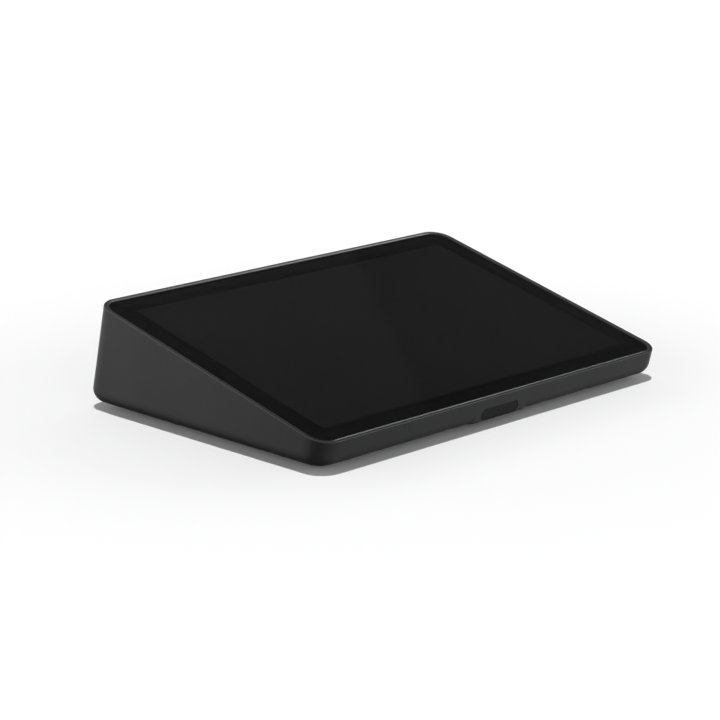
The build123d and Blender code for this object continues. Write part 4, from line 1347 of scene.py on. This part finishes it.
@dataclass(frozen=True)
class NearLamp:
    """A round soft lamp that stands close by, so that its light falls off along the object."""

    name: str
    place: Way
    aim: Way
    power: float
    size: float

    def make(self) -> bpy.types.Object:
        """Makes the lamp.

        Returns:
            The lamp's object.
        """
        data = bpy.data.lights.new(self.name, "AREA")
        data.shape = "DISK"
        data.size = self.size
        data.energy = self.power
        made = add_object(self.name, data)
        made.location = self.place
        way = Vector(self.place) - Vector(self.aim)
        made.rotation_euler = way.to_track_quat("Z", "Y").to_euler()
        return made


@dataclass
class Studio:
    """Floor, lamps, surroundings and camera."""

    floor_size: tuple[float, float] = (24.0, 24.0)
    lamps: tuple[FarLamp | NearLamp, ...] = (
        FarLamp("high_lamp", UP, 2.04, math.radians(0.6)),
        NearLamp("left_lamp", (-0.37, 0.26, 0.42), (-0.12, 0.0, 0.02), 7.6, 0.12),
        NearLamp("front_lamp", (0.5, -0.8, 0.15), (0.0, -0.08, 0.01), 10.8, 0.3),
        FarLamp("rim_lamp", (0.685, -0.145, 0.714), 5.0, math.radians(6), glints_on="housing"),
        FarLamp("edge_lamp", (0.685, -0.545, 0.48), 0.7, math.radians(6), glints_on="cover_glass"),
    )
    horizon_glow: float = 1.6
    ceiling_glow: float = 0.08
    fade_start: float = 0.38
    fade_end: float = 0.52
    backdrop: float = 1.0
    eye: Way = (-0.85516, -0.83838, 0.33543)
    target: Way = (-0.02936, -0.01637, 0.025)
    lens: float = 123.97
    film: float = 36.0
    farthest: float = 100.0
    card_size: tuple[float, float] = (2.0, 1.2)
    card_way: Way = (0.685, 0.481, 0.547)
    card_aim: Way = (0.0, -0.005, 0.034)
    card_reach: float = 1.2

    def finishes(self) -> tuple[Finish, ...]:
        """Lists the studio's own finishes.

        Returns:
            The finishes of the floor and the card.
        """
        return (
            # Painted shade on the floor: darker (near) within the first radius round the object, lighter
            # (far) beyond the second.
            StudioFloor("studio_floor", near=0.95, far=0.99, bounce=0.12, painted_shade_radius=0.16, painted_shade_fade_radius=0.38),
            LightCard(
                "light_card",
                level=0.166,
                rise=0.2,
                rise_way=(-0.622, -0.783),
                line_point=(-0.045, -0.067),
                line_way=(0.756, 0.655),
                band_level=0.62,
                band_width=0.13,
                half_size=(self.card_size[0] / 2, self.card_size[1] / 2),
                fade_from=0.4,
            ),
        )

    def build_sheet(self, name: str, size: tuple[float, float], palette: Palette) -> bpy.types.Object:
        """Makes a flat sheet round its own middle.

        Args:
            name: The sheet's name, and its finish's.
            size: Its sizes along X and Y, in metres.
            palette: The finishes.

        Returns:
            The sheet.
        """
        wide, high = size[0] / 2, size[1] / 2
        corners = [(-wide, -high, 0.0), (wide, -high, 0.0), (wide, high, 0.0), (-wide, high, 0.0)]
        mesh = bpy.data.meshes.new(name)
        mesh.from_pydata(corners, [], [(0, 1, 2, 3)])
        mesh.materials.append(palette[name])
        return add_object(name, mesh)

    def build_floor(self, palette: Palette) -> bpy.types.Object:
        """Lays the floor under the feet.

        Args:
            palette: The finishes.

        Returns:
            The floor.
        """
        floor = self.build_sheet("studio_floor", self.floor_size, palette)
        return floor

    def build_card(self, palette: Palette) -> None:
        """Hangs the card that the glass mirrors, seen in reflections only.

        Args:
            palette: The finishes.
        """
        card = self.build_sheet("light_card", self.card_size, palette)
        way = Vector(self.card_way).normalized()
        right = way.cross(Vector(UP)).normalized()
        turn = Matrix((right, right.cross(way), -way)).transposed().to_4x4()
        card.matrix_world = Matrix.Translation(Vector(self.card_aim) + way * self.card_reach) @ turn
        card.visible_camera = False
        card.visible_diffuse = False
        card.visible_transmission = False
        card.visible_shadow = False

    def build_lamp(self, lamp: FarLamp | NearLamp, floor: bpy.types.Object) -> None:
        """Hangs a lamp.

        Args:
            lamp: The lamp's values.
            floor: The floor, which near lamps leave alone.
        """
        made = lamp.make()
        if isinstance(lamp, NearLamp):
            spared = bpy.data.collections.new(f"{lamp.name}_spares")
            spared.objects.link(floor)
            made.light_linking.receiver_collection = spared
            spared.collection_objects[0].light_linking.link_state = "EXCLUDE"
            made.visible_glossy = False
        elif lamp.glints_on:
            reached = bpy.data.collections.new(f"{lamp.name}_reaches")
            reached.objects.link(frame["nodes"][lamp.glints_on])
            made.light_linking.receiver_collection = reached
            made.visible_diffuse = False

    def build_surroundings(self) -> None:
        """Lights the room with a broad glow at the horizon under a dim ceiling, seen as plain white."""
        world = bpy.data.worlds.new("surroundings")
        bpy.context.scene.world = world
        world.use_nodes = True
        graph = NodeGraph(world.node_tree)
        height = graph.parts(graph.node("ShaderNodeTexCoord").outputs["Generated"])["Z"]
        fade = graph.ramp(height, self.fade_start, self.fade_end, self.horizon_glow, self.ceiling_glow)
        glow = graph.node("ShaderNodeBackground", {"Color": grey(1.0), "Strength": fade})
        white = graph.node("ShaderNodeBackground", {"Color": grey(1.0), "Strength": self.backdrop})
        shown = graph.mix_shaders(graph.in_view(), glow, white)
        graph.node("ShaderNodeOutputWorld", {"Surface": shown.outputs[0]})

    def build_camera(self) -> None:
        """Sets the camera up."""
        data = bpy.data.cameras.new("camera")
        data.lens = self.lens
        data.sensor_width = self.film
        data.clip_end = self.farthest
        camera = add_object("camera", data)
        camera.location = self.eye
        way = Vector(self.target) - Vector(self.eye)
        camera.rotation_euler = way.to_track_quat("-Z", "Y").to_euler()
        bpy.context.scene.camera = camera

    def build(self, palette: Palette) -> None:
        """Builds the whole studio.

        Args:
            palette: The finishes.
        """
        floor = self.build_floor(palette)
        self.build_card(palette)
        for lamp in self.lamps:
            self.build_lamp(lamp, floor)
        self.build_surroundings()
        self.build_camera()
        bpy.context.scene.view_settings.view_transform = "Standard"
        LOG.info("studio is up")


SUB_ASSEMBLIES: tuple[SubAssembly, ...] = (
    SubAssembly(("housing",)),
    SubAssembly((
        "cover_glass", "glass_mask", "glass_gasket", "lcd_panel", "display_frame",
        "backlight_tray", "display_backplate",
    )),
    SubAssembly(("sensor_window", "sensor_shroud", "sensor_chip", "sensor_board", "sensor_ribbon")),
    SubAssembly((
        "main_board", "processor_shield", "thermal_pad", "heat_spreader", "ribbon_connectors",
        "display_ribbon", "touch_ribbon", "reset_switch", "power_board", "antenna_left", "antenna_right",
    )),
    SubAssembly(("base_weight_left", "base_weight_right", "lock_plate")),
    CableBay(),
    Speaker(),
    Feet(),
    Inserts(),
    Screws(("frame_screws", "backplate_screws"), way=SCREEN_WAY),
    Screws(("board_screws", "power_board_screws", "weight_screws", "speaker_screws")),
    Screws(("clamp_screws",), drive=Drive.HEXAGON),
)


def main() -> None:
    """Builds and dresses each sub-assembly in order, then sets the studio up."""
    logging.basicConfig(level=logging.INFO, format="%(name)s: %(message)s")
    studio = Studio()
    palette = Palette((*CONSOLE_FINISHES, *studio.finishes()))
    for assembly in SUB_ASSEMBLIES:
        assembly.build(palette)
        assembly.dress(palette)
        LOG.info("finished %s with %d nodes", type(assembly).__name__, len(assembly.nodes))
    studio.build(palette)


if __name__ == "__main__":
    main()
